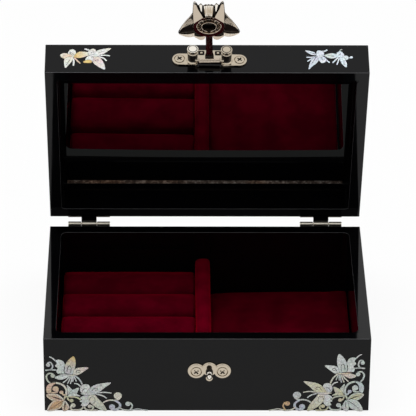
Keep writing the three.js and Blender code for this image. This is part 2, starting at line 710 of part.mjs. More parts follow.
// The corner spray on the body: x from the side edge, y from the foot
const frontSpray = {
  ribbons: [
    [0.9, 0.8, 1.2, [[1.6, 31.2], [4.4, 31.6], [5.6, 34], [4.6, 36.4], [2.9, 36.3], [2.8, 35]]],
    [0.8, 0.8, 0, [[3.4, 31.4], [5.6, 31.5], [8.2, 31.2]]],
    [0.9, 0.6, 0, [[8.6, 37.6], [6, 39.4], [3.4, 40.9]]],
    [1.1, 1.1, 1.3, [[4.6, 20.8], [2.4, 23.2], [1.8, 26.2], [3.2, 28.6], [5.3, 28.5], [5.6, 27]]],
    [1.2, 1.1, 0, [[2.2, 14.6], [2, 18.4], [4, 21.2], [7.2, 21.8], [10.9, 20.7], [13.2, 18], [13.6, 14.6], [11.8, 8.8]]],
    [1.3, 1.4, 1.8, [[2.4, 15.4], [4.8, 14.2], [7.6, 14.6], [8.2, 16.4], [7, 17]]],
    [0.9, 0.9, 1.2, [[13.3, 12.2], [12, 13], [10.6, 14.7]]],
    [0.9, 0.7, 0, [[16.2, 27.4], [14.2, 24.4], [11.6, 21.9]]],
    [0.9, 0.6, 0, [[16.8, 27.4], [15.8, 24], [14.4, 21.3]]],
    [0.9, 0.6, 0, [[17.3, 27.4], [17.2, 24], [16.4, 21.2]]],
    [0.9, 0.6, 0, [[17.9, 27.4], [18.8, 25], [19.9, 22.8]]],
    [0.9, 0.9, 0, [[18.4, 27.2], [21.6, 24.2], [23.9, 19.8]]],
    [1, 1, 0, [[12, 9.2], [13.2, 11.3], [16, 11.6], [20.2, 10.9], [23.2, 9.2]]],
    [0.9, 1, 1.3, [[14.4, 11.3], [15.2, 9.4], [17, 8.6]]],
    [0.9, 0.7, 0, [[23.2, 18.8], [20.8, 21], [18.4, 21.6]]],
    [1.7, 1, 0, [[22.4, 13.8], [27, 13.6], [32.6, 13.8]]],
    [0.9, 0.7, 0, [[31.6, 14], [36.7, 14.9], [41.3, 14.3]]],
    [0.9, 0.7, 0, [[31.6, 13.5], [35.7, 12.3], [38.5, 10.2]]],
    [1.1, 1.2, 1.3, [[24.8, 5.6], [23, 2.4], [19.8, 1.1], [16.8, 1.7], [16, 3.6], [17.4, 4.6]]],
    [1, 0.8, 0, [[24.8, 5.6], [25.4, 2.6], [27.8, 1], [33, 0.8]]],
    [0.9, 0.9, 1.2, [[29, 1], [30.4, 2.8], [29.4, 4.6], [28, 4.2]]],
    [0.9, 1, 0, [[34, 5.4], [37.2, 8], [40.8, 9], [43.8, 8.4]]],
    [1, 1.2, 1.5, [[43, 8.6], [46.2, 10], [47, 12.2], [45.2, 13.4], [44.3, 12.5]]],
    [1.2, 1.9, 1.7, [[43.2, 8.8], [46.4, 6.6], [46.4, 3], [43.6, 1.2], [41, 2.2], [41.2, 4]]],
    [1, 0.7, 0, [[46, 3], [48.8, 1.4], [53, 0.8], [57.2, 2.2], [60.4, 1.7], [63.8, 0.3]]],
    [0.9, 1, 1.4, [[52.4, 1], [54.2, 4], [53, 6.8], [51.4, 6]]],
  ],
  leaves: [
    [[16, 27], [18, 41.4], 7.4],
    [[17.4, 27], [27.3, 33], 5],
    [[17.6, 27.4], [6.9, 25.4], 3.2],
    [[15.6, 12], [14.2, 20], 3.8],
    [[15, 12.6], [21, 18.2], 4],
    [[14.6, 12.6], [22, 12.4], 3.2],
    [[12.2, 8.6], [1.3, 12.9], 5.6],
    [[12.4, 9.6], [1.8, 0.6], 6.6],
    [[12.1, 9.4], [12.4, 0.2], 4.8],
    [[26.4, 13], [40.2, 21.9], 5.6],
    [[27.4, 14], [38, 0.4], 7],
  ],
  blobs: [
    [[7, 37.9], [9.4, 39], [12.4, 37.4], [13, 33.5], [15.5, 28.4], [9.3, 28.4], [7.6, 31.3], [7, 34.5]],
    [[1.6, 14.2], [1.4, 18.4], [3.6, 21.4], [6.4, 21.6], [3.8, 18], [3.4, 15.2]],
    [[22.4, 18.2], [24.2, 20.8], [27.2, 20.6], [28.2, 17.8], [27.4, 13.4], [23.2, 13.6]],
    [[22.4, 8.4], [24.2, 11.6], [27.6, 13.6], [28.8, 9.5], [26.2, 4.6], [23.6, 4.9]],
  ],
};

// The pair of butterflies on the lid: x from the side edge, y from the lid's rim
const lidPair = {
  ribbons: [
    [1, 0.8, 0, [[17.2, 14], [17.6, 9.2], [17.4, 5.6]]],
    [1, 0.8, 0, [[17.4, 14], [19.6, 10.5], [21.7, 7.8]]],
    [1, 0.9, 0, [[28.2, 19.6], [26, 21.2], [24.1, 21.8]]],
    [1.9, 1, 0, [[27.2, 16], [30.2, 15.1], [34.6, 15]]],
    [1, 0.8, 0, [[33, 15.2], [37, 15.5], [40.6, 15]]],
    [1, 0.8, 0, [[33, 14.9], [36.1, 13.2], [38.5, 10.2]]],
  ],
  leaves: [
    [[16.8, 13.8], [8.9, 15], 5.4],
    [[17.2, 14.8], [12.1, 3], 5.4],
    [[16, 13.6], [28.6, 17.2], 6],
    [[28.6, 15.6], [40.8, 22.2], 5],
    [[28.2, 16], [37.2, 1.2], 7],
    [[30, 16], [23, 7.8], 6],
  ],
  blobs: [
    [[14.2, 16.4], [14.8, 19.9], [16.9, 21.4], [18.8, 19.2], [18.6, 15.6], [16.8, 13.4]],
    [[26.8, 16.8], [27.2, 19.8], [29.5, 21.9], [31.4, 20.4], [31.5, 17.6], [29.2, 15]],
  ],
};

// Joins one design into a thin plate. Side -1 starts at the left edge and 1 mirrors it at the right.
function pearlPlate(design, side, scale) {
  const place = ([x, y]) => [side * (boxWidth / 2 - x * pearlUnit), y * pearlUnit * scale];
  const shapes = [];
  for (const [startWidth, endWidth, ball, points] of design.ribbons) {
    const placed = points.map(place);
    shapes.push([ribbon(placed, startWidth * pearlUnit, endWidth * pearlUnit), 1]);
    if (ball) shapes.push([circleShape(...placed[placed.length - 1], ball * pearlUnit), 4]);
  }
  for (const [base, tip, width] of design.leaves) {
    shapes.push([leaf(place(base), place(tip), width * pearlUnit), 4]);
  }
  for (const points of design.blobs) shapes.push([blob(points.map(place)), 1]);
  return join(shapes.map(([shape, segments]) => prism(shape, pearlThickness, segments)));
}

function addPearl(body, lid) {
  const face = -boxDepth / 2;
  for (const [word, side] of [["left", -1], ["right", 1]]) {
    const spray = standUp(pearlPlate(frontSpray, side, sprayScale), 0, face, sprayBottom);
    add(body, `pearl_spray_${word}`, spray, pearl);
    const pair = standUp(pearlPlate(lidPair, side, 1), 0, face, lidBottom);
    add(lid, `pearl_butterflies_${word}`, pair, pearl);
  }
}

// The lid turns about the hinge line, and everything in it is drawn as if it were shut.
const box = new THREE.Group();
const lidPivot = new THREE.Group();
lidPivot.position.set(0, hingeY, hingeZ);
lidPivot.rotation.x = -lidAngle;
const lid = new THREE.Group();
lid.position.set(0, -hingeY, -hingeZ);
const hasp = new THREE.Group();
hasp.position.set(claspX, -boxDepth / 2 - pivotStand, lidBottom + pivotRise);
box.add(lidPivot);
lidPivot.add(lid);
lid.add(hasp);

addCase(box);
addVelvet(box);
addCatch(box);
addLidBox(lid);
addHinges(box, lid);
addClaspPlate(lid);
addHasp(hasp);
addPearl(box, lid);

export default box;
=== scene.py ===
# Looks of a black lacquer jewelry box: mother of pearl sprays, nickel clasp, mirrored lid, red velvet.
# Sizes are in millimetres and each finished mesh is brought to metres as it is placed.
import math

import bmesh
import bpy
from mathutils import Matrix, Vector, noise


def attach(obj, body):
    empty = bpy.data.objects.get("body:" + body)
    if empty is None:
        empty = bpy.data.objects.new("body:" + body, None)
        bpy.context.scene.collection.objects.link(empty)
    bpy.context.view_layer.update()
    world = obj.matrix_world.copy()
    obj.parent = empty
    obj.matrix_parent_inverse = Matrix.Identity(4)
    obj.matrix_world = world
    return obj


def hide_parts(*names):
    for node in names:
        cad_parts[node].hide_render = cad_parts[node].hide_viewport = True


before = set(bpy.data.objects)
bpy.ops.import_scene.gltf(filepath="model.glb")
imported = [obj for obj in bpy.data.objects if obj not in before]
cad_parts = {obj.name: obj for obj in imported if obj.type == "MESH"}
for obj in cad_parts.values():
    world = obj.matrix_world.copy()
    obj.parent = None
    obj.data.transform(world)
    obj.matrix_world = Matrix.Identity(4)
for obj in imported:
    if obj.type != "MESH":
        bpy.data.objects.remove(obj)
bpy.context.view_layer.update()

MM = 0.001
TO_METRES = Matrix.Scale(MM, 4)

# Sizes shared with the part
BOX_WIDTH, BOX_DEPTH = 200, 132
BODY_HEIGHT = 54
FELT = 1
LID_BOTTOM, LID_TOP = 54.4, 78.5
WALL = 7.5
INNER_CORNER = 4
BASE_TOP = 6
LID_PANEL = 2.2
HINGE_Y, HINGE_Z = 72.5, 52
LID_ANGLE = 72.3
CLASP_X, CLASP_RISE = 1.4, 9.3
PIVOT_STAND, PIVOT_RISE = 3.4, 7.2
CATCH_HEIGHT = 30.6
EYE_REACH = 30.9
# The clasp plate hangs a little askew on the lid and a little high, and the hasp with it
CLASP_SKEW = -1.3
CLASP_LIFT = 1.0


def shift(x, y, z=0.0):
    return Matrix.Translation((x, y, z))


def turn(degrees, axis="Z"):
    return Matrix.Rotation(math.radians(degrees), 4, axis)


# Places: the shut lid's frame, the two front faces (y up, z outwards) and the hasp
# (y from the pivot along the stem, z towards the hollow back of the ornament).
LID = shift(0, HINGE_Y, HINGE_Z) @ turn(-LID_ANGLE, "X") @ shift(0, -HINGE_Y, -HINGE_Z)
UPRIGHT = turn(90, "X")
BODY_FRONT = shift(0, -BOX_DEPTH / 2) @ UPRIGHT
LID_FRONT = LID @ shift(0, -BOX_DEPTH / 2, LID_BOTTOM) @ UPRIGHT
PIVOT = shift(CLASP_X, -BOX_DEPTH / 2 - PIVOT_STAND, LID_BOTTOM + PIVOT_RISE)
HASP = LID @ PIVOT @ turn(180, "X") @ turn(-CLASP_SKEW)


# Colours and materials
def linear(text):
    """An sRGB hex colour as a linear one."""
    parts = [int(text[i : i + 2], 16) / 255 for i in (1, 3, 5)]
    return tuple(p / 12.92 if p <= 0.04045 else ((p + 0.055) / 1.055) ** 2.4 for p in parts) + (1.0,)


def add_node(owner, kind, sockets=None, stops=(), **settings):
    """Adds a node with its settings and a ramp's stops, its two ends first;
    a socket takes a value or another node's output."""
    tree = owner.node_tree
    node = tree.nodes.new(kind)
    for name, value in settings.items():
        setattr(node, name, value)
    for i, (position, colour) in enumerate(stops):
        stop = node.color_ramp.elements[i] if i < 2 else node.color_ramp.elements.new(position)
        stop.position, stop.color = position, linear(colour)
    for key, value in (sockets or {}).items():
        if isinstance(value, bpy.types.NodeSocket):
            tree.links.new(value, node.inputs[key])
        else:
            node.inputs[key].default_value = value
    return node


def empty_material(name):
    material = bpy.data.materials.new(name)
    material.use_nodes = True
    material.node_tree.nodes.clear()
    return material


def new_material(name):
    """An empty material and the coordinates of the piece that wears it."""
    material = empty_material(name)
    return material, add_node(material, "ShaderNodeTexCoord").outputs["Object"]


def per_mm(size):
    """Texture scale, in turns a metre, of a pattern whose grain is this many millimetres."""
    return 1 / (size * MM)


def lacquer_material(name, tone):
    """Black lacquer, rubbed down and polished: a deep black that mirrors its surroundings,
    with the faint waviness of a hand polished coat and a little haze from handling.
    Used in a lighter tone on the rims' eased edges, it draws a painted highlight there, a fine grey line."""
    material, place = new_material(name)
    haze = add_node(material, "ShaderNodeTexNoise", {"Vector": place, "Scale": per_mm(34), "Detail": 3})
    amount = add_node(
        material, "ShaderNodeMapRange",
        {"Value": haze.outputs["Fac"], "From Min": 0.35, "From Max": 0.75, "To Min": 0.03, "To Max": 0.085},
    )
    waves = add_node(material, "ShaderNodeTexNoise", {"Vector": place, "Scale": per_mm(9), "Detail": 1})
    bump = add_node(
        material, "ShaderNodeBump", {"Height": waves.outputs["Fac"], "Strength": 0.03, "Distance": 0.2 * MM}
    )
    surface = add_node(material, "ShaderNodeBsdfPrincipled", {
        "Base Color": linear(tone), "IOR": 1.5, "Specular IOR Level": 0.18,
        "Roughness": amount.outputs[0], "Normal": bump.outputs[0],
    })
    add_node(material, "ShaderNodeOutputMaterial", {"Surface": surface.outputs[0]})
    return material


def velvet_material(name, bright, deep, sheen):
    """Cotton velvet: a short upright pile, deep where it is looked into and lit along its slants,
    in soft patches where it has been brushed one way or the other."""
    material, place = new_material(name)
    brushed = add_node(
        material, "ShaderNodeTexNoise", {"Vector": place, "Scale": per_mm(16), "Detail": 4, "Roughness": 0.55}
    )
    colour = add_node(
        material, "ShaderNodeValToRGB", {"Fac": brushed.outputs["Fac"]}, [(0.36, deep), (0.66, bright)]
    )
    # The pile is drawn at 0.5 mm, coarser than the real 0.15 mm, so that it shows.
    pile = add_node(material, "ShaderNodeTexNoise", {"Vector": place, "Scale": per_mm(0.5), "Detail": 2})
    bump = add_node(
        material, "ShaderNodeBump", {"Height": pile.outputs["Fac"], "Strength": 0.35, "Distance": 0.12 * MM}
    )
    surface = add_node(material, "ShaderNodeBsdfPrincipled", {
        "Base Color": colour.outputs[0], "Roughness": 0.95, "Specular IOR Level": 0.0, "Sheen Weight": sheen,
        "Sheen Roughness": 0.35, "Sheen Tint": linear("#b00020"), "Normal": bump.outputs[0],
    })
    add_node(material, "ShaderNodeOutputMaterial", {"Surface": surface.outputs[0]})
    return material


def felt_material():
    """Pressed wool felt: matt charcoal with short loose fibres."""
    material, place = new_material("charcoal_wool_felt")
    fibres = add_node(
        material, "ShaderNodeTexNoise",
        {"Vector": place, "Scale": per_mm(1.2), "Detail": 6, "Distortion": 1.5},
    )
    colour = add_node(
        material, "ShaderNodeValToRGB", {"Fac": fibres.outputs["Fac"]}, [(0, "#121214"), (1, "#33333a")]
    )
    bump = add_node(
        material, "ShaderNodeBump", {"Height": fibres.outputs["Fac"], "Strength": 0.5, "Distance": 0.2 * MM}
    )
    surface = add_node(material, "ShaderNodeBsdfPrincipled", {
        "Base Color": colour.outputs[0], "Roughness": 1.0, "Specular IOR Level": 0.1, "Sheen Weight": 0.3,
        "Normal": bump.outputs[0],
    })
    add_node(material, "ShaderNodeOutputMaterial", {"Surface": surface.outputs[0]})
    return material


def mirror_material():
    """Silvered float glass, a little dulled: a clear cold reflection with barely any haze."""
    material, place = new_material("silvered_float_glass")
    haze = add_node(material, "ShaderNodeTexNoise", {"Vector": place, "Scale": per_mm(25), "Detail": 2})
    amount = add_node(
        material, "ShaderNodeMapRange", {"Value": haze.outputs["Fac"], "To Min": 0.0, "To Max": 0.02}
    )
    surface = add_node(
        material, "ShaderNodeBsdfPrincipled",
        {"Base Color": linear("#d2d6d4"), "Metallic": 1.0, "Roughness": amount.outputs[0]},
    )
    add_node(material, "ShaderNodeOutputMaterial", {"Surface": surface.outputs[0]})
    return material


def board_material():
    """Raw grey board: pressed fibres in pale, brown and dark specks where it shows beside the mirror."""
    material, place = new_material("raw_pressed_board")
    specks = add_node(
        material, "ShaderNodeTexNoise",
        {"Vector": place, "Scale": per_mm(2.2), "Detail": 8, "Roughness": 0.75},
    )
    colour = add_node(
        material, "ShaderNodeValToRGB", {"Fac": specks.outputs["Fac"]},
        [(0.38, "#241d19"), (0.62, "#a99e93"), (0.5, "#5a4a3f")],
    )
    # The pulp runs from grey to brown in long stretches
    stretches = add_node(material, "ShaderNodeTexNoise", {"Vector": place, "Scale": per_mm(32), "Detail": 1})
    pulp = add_node(
        material, "ShaderNodeValToRGB",
        {"Fac": stretches.outputs["Fac"]}, [(0.46, "#dfe4ea"), (0.62, "#ffe6d4")],
    )
    stained = add_node(
        material, "ShaderNodeMix", {"Factor": 1.0, "A": colour.outputs[0], "B": pulp.outputs[0]},
        data_type="RGBA", blend_type="MULTIPLY",
    )
    bump = add_node(
        material, "ShaderNodeBump", {"Height": specks.outputs["Fac"], "Strength": 0.6, "Distance": 0.15 * MM}
    )
    surface = add_node(material, "ShaderNodeBsdfPrincipled", {
        "Base Color": stained.outputs["Result"], "Roughness": 0.9, "Specular IOR Level": 0.2,
        "Normal": bump.outputs[0],
    })
    add_node(material, "ShaderNodeOutputMaterial", {"Surface": surface.outputs[0]})
    return material


def nickel_material(name, tone, low, high):
    """Nickel plate over a casting: warm grey, bright, with hairline rubbing marks and duller patches."""
    material, place = new_material(name)
    wear_and_highlight = add_node(
        material, "ShaderNodeTexNoise", {"Vector": place, "Scale": per_mm(3), "Detail": 5, "Roughness": 0.6}
    )
    amount = add_node(
        material, "ShaderNodeMapRange",
        {"Value": wear_and_highlight.outputs["Fac"], "From Min": 0.35, "From Max": 0.7, "To Min": low, "To Max": high},
    )
    stretched = add_node(
        material, "ShaderNodeMapping", {"Vector": place, "Scale": (per_mm(6), per_mm(0.5), per_mm(0.5))}
    )
    hairlines = add_node(
        material, "ShaderNodeTexNoise", {"Vector": stretched.outputs[0], "Scale": 1, "Detail": 3}
    )
    bump = add_node(
        material, "ShaderNodeBump",
        {"Height": hairlines.outputs["Fac"], "Strength": 0.06, "Distance": 0.05 * MM},
    )
    surface = add_node(material, "ShaderNodeBsdfPrincipled", {
        "Base Color": linear(tone), "Metallic": 1.0, "Roughness": amount.outputs[0],
        "Normal": bump.outputs[0],
    })
    add_node(material, "ShaderNodeOutputMaterial", {"Surface": surface.outputs[0]})
    return material


def shade_metal_material(name, tone, metal):
    """Dull, nearly black metal for painted shade: drawn on the metal's recesses, flanks and faces turned from
    the light.
    """
    material, place = new_material(name)
    grain = add_node(material, "ShaderNodeTexNoise", {"Vector": place, "Scale": per_mm(0.4), "Detail": 4})
    bump = add_node(
        material, "ShaderNodeBump", {"Height": grain.outputs["Fac"], "Strength": 0.3, "Distance": 0.08 * MM}
    )
    surface = add_node(material, "ShaderNodeBsdfPrincipled", {
        "Base Color": linear(tone), "Metallic": metal, "Roughness": 0.3, "Specular IOR Level": 0.3,
        "Normal": bump.outputs[0],
    })
    add_node(material, "ShaderNodeOutputMaterial", {"Surface": surface.outputs[0]})
    return material


def pearl_material():
    """Thin abalone and mother of pearl under clear lacquer: pale, crackled in fine plates,
    each plate leaning to another tint, with a glossy clear coat over it."""
    material, place = new_material("mother_of_pearl")
    tint = add_node(material, "ShaderNodeAttribute", attribute_name="tint").outputs["Color"]
    plates = add_node(material, "ShaderNodeTexVoronoi", {"Vector": place, "Scale": per_mm(1.5)})
    cells = add_node(
        material, "ShaderNodeHueSaturation", {"Color": plates.outputs["Color"], "Saturation": 0.5}
    )
    patchy = add_node(
        material, "ShaderNodeMix", {"Factor": 0.3, "A": tint, "B": cells.outputs[0]},
        data_type="RGBA", blend_type="SOFT_LIGHT",
    )
    cracks = add_node(
        material, "ShaderNodeTexVoronoi", {"Vector": place, "Scale": per_mm(1.5)}, feature="DISTANCE_TO_EDGE"
    )
    seam = add_node(
        material, "ShaderNodeMapRange",
        {
            "Value": cracks.outputs["Distance"], "From Min": 0.0, "From Max": 0.08,
            "To Min": 0.45, "To Max": 1.0,
        },
    )
    shaded = add_node(
        material, "ShaderNodeMix", {"Factor": 1.0, "A": patchy.outputs["Result"], "B": seam.outputs[0]},
        data_type="RGBA", blend_type="MULTIPLY",
    )
    surface = add_node(material, "ShaderNodeBsdfPrincipled", {
        "Base Color": shaded.outputs["Result"], "Roughness": 0.3, "Metallic": 0.15, "Coat Weight": 1.0,
        "Coat Roughness": 0.04, "Coat IOR": 1.4,
    })
    add_node(material, "ShaderNodeOutputMaterial", {"Surface": surface.outputs[0]})
    return material


lacquer = lacquer_material("polished_black_lacquer", "#030304")
# A lighter grey copy of the lacquer: painted highlight along the rims' eased edges
rim_highlight_lacquer = lacquer_material("lacquer_painted_rim_highlight", "#505052")
velvet = velvet_material("wine_red_velvet", "#4f0011", "#3b000b", 0.7)
# A lighter copy of the same velvet for the divider: painted light
lit_velvet = velvet_material("wine_red_velvet_painted_lighter", "#580012", "#44000d", 0.75)
felt = felt_material()
mirror_glass = mirror_material()
raw_board = board_material()
nickel = nickel_material("bright_nickel_plate", "#c2b6a3", 0.04, 0.12)
cast_nickel = nickel_material("cast_nickel_plate", "#c4b6a4", 0.05, 0.13)
# A lighter, rougher copy of the nickel for the hinge knuckles: painted light
lit_knuckle_nickel = nickel_material("nickel_knuckle_painted_light", "#e0d9ca", 0.28, 0.42)
rolled_nickel = nickel_material("rolled_nickel_strip", "#c4b6a4", 0.18, 0.28)
# A darker copy of the nickel for the hasp's stem: painted shade
shaded_stem_nickel = nickel_material("nickel_strip_painted_shade", "#9d8f84", 0.1, 0.17)
# A dark wine red copy of the nickel: painted reflection of the red velvet, with painted shade
velvet_reflection_nickel = nickel_material("nickel_painted_velvet_reflection", "#4a191c", 0.2, 0.3)
# A near white copy of the nickel: painted highlight on faces turned up to the light
highlight_nickel = nickel_material("nickel_painted_highlight", "#efe9dd", 0.05, 0.1)
# Nearly black copies of the metal: painted shade and dark reflection where faces are recessed or turned from
# the light
shaded_nickel = shade_metal_material("nickel_painted_shade_recess", "#2b2723", 0.7)
shaded_waist = shade_metal_material("nickel_painted_shade_waist", "#14100e", 0.1)
pearl = pearl_material()


# Making and placing meshes
def to_mesh(bm, name):
    """The bmesh as a mesh; the bmesh is freed."""
    mesh = bpy.data.meshes.new(name)
    bm.to_mesh(mesh)
    bm.free()
    return mesh


def moved(bm, place):
    bmesh.ops.transform(bm, matrix=place, verts=bm.verts)
    return bm


def add_object(name, data):
    """A new object in the scene."""
    made = bpy.data.objects.new(name, data)
    bpy.context.scene.collection.objects.link(made)
    return made


def face_outward(bm):
    """Turns the faces of every closed shell outward, judged by the shell's own volume."""
    bmesh.ops.recalc_face_normals(bm, faces=bm.faces)
    bm.normal_update()
    waiting = set(bm.faces)
    while waiting:
        shell, edge_of_shell = [], [waiting.pop()]
        while edge_of_shell:
            face = edge_of_shell.pop()
            shell.append(face)
            for edge in face.edges:
                for other in edge.link_faces:
                    if other in waiting:
                        waiting.discard(other)
                        edge_of_shell.append(other)
        if sum(f.calc_center_median().dot(f.normal) * f.calc_area() for f in shell) < 0:
            bmesh.ops.reverse_faces(bm, faces=shell)
    bm.normal_update()


def finish(bm, name, body, material, place=None, replaces=(), slot=None, sharp=35, others=()):
    """Closes a bmesh into a piece: faces out, millimetres to metres, shaded, riding and named."""
    bmesh.ops.remove_doubles(bm, verts=bm.verts, dist=1e-4)
    face_outward(bm)
    moved(bm, TO_METRES @ (place or Matrix()))
    return dress(to_mesh(bm, name), name, body, material, replaces, slot, sharp, others)


def dress(mesh, name, body, material, replaces=(), slot=None, sharp=35, others=()):
    """Puts a mesh that is already in metres into the scene as a riding piece;
    others are further materials, for the faces that are marked."""
    piece = add_object(name, mesh)
    marks = [face.material_index for face in mesh.polygons]
    mesh.materials.clear()
    for each in (material, *others):
        mesh.materials.append(each)
    if others:
        mesh.polygons.foreach_set("material_index", marks)
    mesh.polygons.foreach_set("use_smooth", [True] * len(mesh.polygons))
    mesh.set_sharp_from_angle(angle=math.radians(sharp))
    if sharp < 90:
        flats = piece.modifiers.new("true_flats", "WEIGHTED_NORMAL")
        flats.keep_sharp = True
        flats.weight = 90
    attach(piece, body)
    if replaces:
        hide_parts(*replaces)
    return piece


def mark(bm, index, chosen=lambda face: True):
    """Gives the chosen faces the number of a further material."""
    for face in bm.faces:
        if chosen(face):
            face.material_index = index
    return bm


def block(x0, x1, y0, y1, z0, z1):
    bm = bmesh.new()
    bmesh.ops.create_cube(bm, size=1)
    bmesh.ops.scale(bm, vec=(x1 - x0, y1 - y0, z1 - z0), verts=bm.verts)
    bmesh.ops.translate(bm, vec=((x0 + x1) / 2, (y0 + y1) / 2, (z0 + z1) / 2), verts=bm.verts)
    return bm


def bevel(bm, edges, width, segments):
    bmesh.ops.bevel(
        bm, geom=list(edges), offset=width, segments=segments, profile=0.5, affect="EDGES", material=-1,
        clamp_overlap=True,
    )


def sharp_edges(bm, angle=40):
    return [e for e in bm.edges if len(e.link_faces) == 2 and e.calc_face_angle(0) > math.radians(angle)]


def upright_edges(bm):
    return [e for e in bm.edges if abs(e.verts[0].co.z - e.verts[1].co.z) > 1]


def merge_in(target, extra, place=None):
    """Adds a second bmesh to the first, moved by a matrix, and frees it."""
    mesh = to_mesh(moved(extra, place) if place else extra, "part")
    target.from_mesh(mesh)
    bpy.data.meshes.remove(mesh)
    return target


def pulled(bm, faces, **options):
    """Extrudes the faces and gives the points of the new ends."""
    made = bmesh.ops.extrude_face_region(bm, geom=faces, **options)
    return [v for v in made["geom"] if isinstance(v, bmesh.types.BMVert)]


def turned(profile, steps=40):
    """A turned piece about its z axis, from (radius, height) points."""
    bm = bmesh.new()
    points = [bm.verts.new((r, 0, z)) for r, z in profile]
    edges = [bm.edges.new(pair) for pair in zip(points, points[1:])]
    bmesh.ops.spin(
        bm, geom=points + edges, cent=(0, 0, 0), axis=(0, 0, 1), angle=2 * math.pi, steps=steps,
        use_merge=True,
    )
    bmesh.ops.remove_doubles(bm, verts=bm.verts, dist=1e-4)
    face_outward(bm)
    return bm


def plate(outline, z0, z1, edge=0.0, segments=2):
    """A flat piece of this outline, with its upper edge eased."""
    bm = bmesh.new()
    face = bm.faces.new([bm.verts.new((x, y, z0)) for x, y in outline])
    bmesh.ops.translate(bm, vec=(0, 0, z1 - z0), verts=pulled(bm, [face]))
    bmesh.ops.recalc_face_normals(bm, faces=bm.faces)
    if edge:
        bevel(bm, [e for e in bm.edges if all(abs(v.co.z - z1) < 1e-6 for v in e.verts)], edge, segments)
    return bm


def arc(cx, cy, radius, start, end, steps=12):
    """Points on an arc, angles in degrees."""
    return [
        (cx + radius * math.cos(math.radians(a)), cy + radius * math.sin(math.radians(a)))
        for a in [start + (end - start) * i / steps for i in range(steps + 1)]
    ]


def smooth_path(points, steps=6, closed=False):
    """Points on a smooth curve through the given ones."""
    count = len(points)
    found = []
    for i in range(count if closed else count - 1):
        near = [i + k if closed else min(max(i + k, 0), count - 1) for k in (-1, 0, 1, 2)]
        a, b, c, d = (Vector(points[k % count]) for k in near)
        for step in range(steps):
            t = step / steps
            bent = 2 * b + (c - a) * t + (2 * a - 5 * b + 4 * c - d) * t**2
            found.append(0.5 * (bent + (3 * b - a - 3 * c + d) * t**3))
    if not closed:
        found.append(Vector(points[-1]))
    return found


def left_of(path, i):
    """The direction to the left of a flat path at one of its points."""
    ahead = (path[min(i + 1, len(path) - 1)] - path[max(i - 1, 0)]).normalized()
    return Vector((-ahead.y, ahead.x))


def applied(piece):
    """The piece's mesh with all its modifiers applied."""
    graph = bpy.context.evaluated_depsgraph_get()
    mesh = bpy.data.meshes.new_from_object(piece.evaluated_get(graph))
    piece.modifiers.clear()
    old = piece.data
    piece.data = mesh
    bpy.data.meshes.remove(old)
    return mesh


def carve(bm, cutters, operation="DIFFERENCE"):
    """Cuts each bmesh in the list out of the first one, or joins them to it."""
    pieces = []
    for source in [bm] + cutters:
        bmesh.ops.recalc_face_normals(source, faces=source.faces)
        pieces.append(add_object("carving", to_mesh(source, "carving")))
    for cutter in pieces[1:]:
        tool = pieces[0].modifiers.new("cut", "BOOLEAN")
        tool.operation = operation
        tool.solver = "EXACT"
        tool.object = cutter
    bpy.context.view_layer.update()
    carved = bmesh.new()
    carved.from_mesh(applied(pieces[0]))
    for piece in pieces:
        mesh = piece.data
        bpy.data.objects.remove(piece)
        bpy.data.meshes.remove(mesh)
    return carved


def split_wide_faces(bm):
    bmesh.ops.triangulate(bm, faces=[f for f in bm.faces if len(f.verts) > 4])


def eased_copy(node, name, body, width, place=None):
    """A nickel copy of a CAD node, its facets merged and its sharp edges eased to catch the light."""
    bm = bmesh.new()
    bm.from_mesh(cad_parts[node].data)
    bmesh.ops.remove_doubles(bm, verts=bm.verts, dist=0.002 * MM)
    bmesh.ops.dissolve_limit(bm, angle_limit=math.radians(2), verts=bm.verts, edges=bm.edges)
    bevel(bm, sharp_edges(bm, 45), width * MM, 2)
    if place:
        moved(bm, TO_METRES @ place @ Matrix.Scale(1 / MM, 4))
    split_wide_faces(bm)
    return dress(to_mesh(bm, name), name, body, nickel, [node], "nickel")


# Lacquered carcasses
EDGE = 0.4
BODY_RIM, LID_RIM = 0.7, 1.1
# The lid's hinge side stands a little further out than the part's solids
LID_OVERHANG = 2.2
LID_CORNER = 2.2


def carcass(height, depth, rim, corner, overhang=0.0):
    """An open lacquered tray with its rim at z = 0, mitres hidden under the coat.
    The rim's eased edges are marked for the lighter lacquer, a painted highlight along them."""
    side, back = BOX_WIDTH / 2, BOX_DEPTH / 2
    front = -back - overhang
    bm = block(-side, side, front, back, -height, 0)
    top = max(bm.faces, key=lambda f: f.calc_center_median().z)
    bmesh.ops.inset_region(bm, faces=[top], thickness=WALL, use_even_offset=True)
    made = bmesh.ops.extrude_discrete_faces(bm, faces=[top])
    bmesh.ops.translate(bm, vec=(0, 0, -depth), verts=made["faces"][0].verts)
    bevel(bm, [e for e in upright_edges(bm) if abs(e.verts[0].co.x) < side - 1], corner, 10)
    bevel(bm, [e for e in upright_edges(bm) if abs(e.verts[0].co.x) > side - 0.1], EDGE, 4)
    level = [e for e in sharp_edges(bm, 60) if abs(e.verts[0].co.z - e.verts[1].co.z) < 0.01]
    bevel(bm, [e for e in level if e.verts[0].co.z < -0.01], EDGE, 4)
    bevel(bm, [e for e in sharp_edges(bm, 60) if all(v.co.z > -0.01 for v in e.verts)], rim, 5)
    bm.normal_update()

    # Eased rim faces turned upwards: painted highlight, given the lighter lacquer
    def wear_and_highlight(face):
        middle = face.calc_center_median()
        outer = abs(middle.x) > side - rim or not front + rim < middle.y < back - rim
        low, high = (0.1, 0.98) if outer else (0.45, 0.8)
        return middle.z > -rim and low < face.normal.z < high

    return mark(bm, 1, wear_and_highlight)


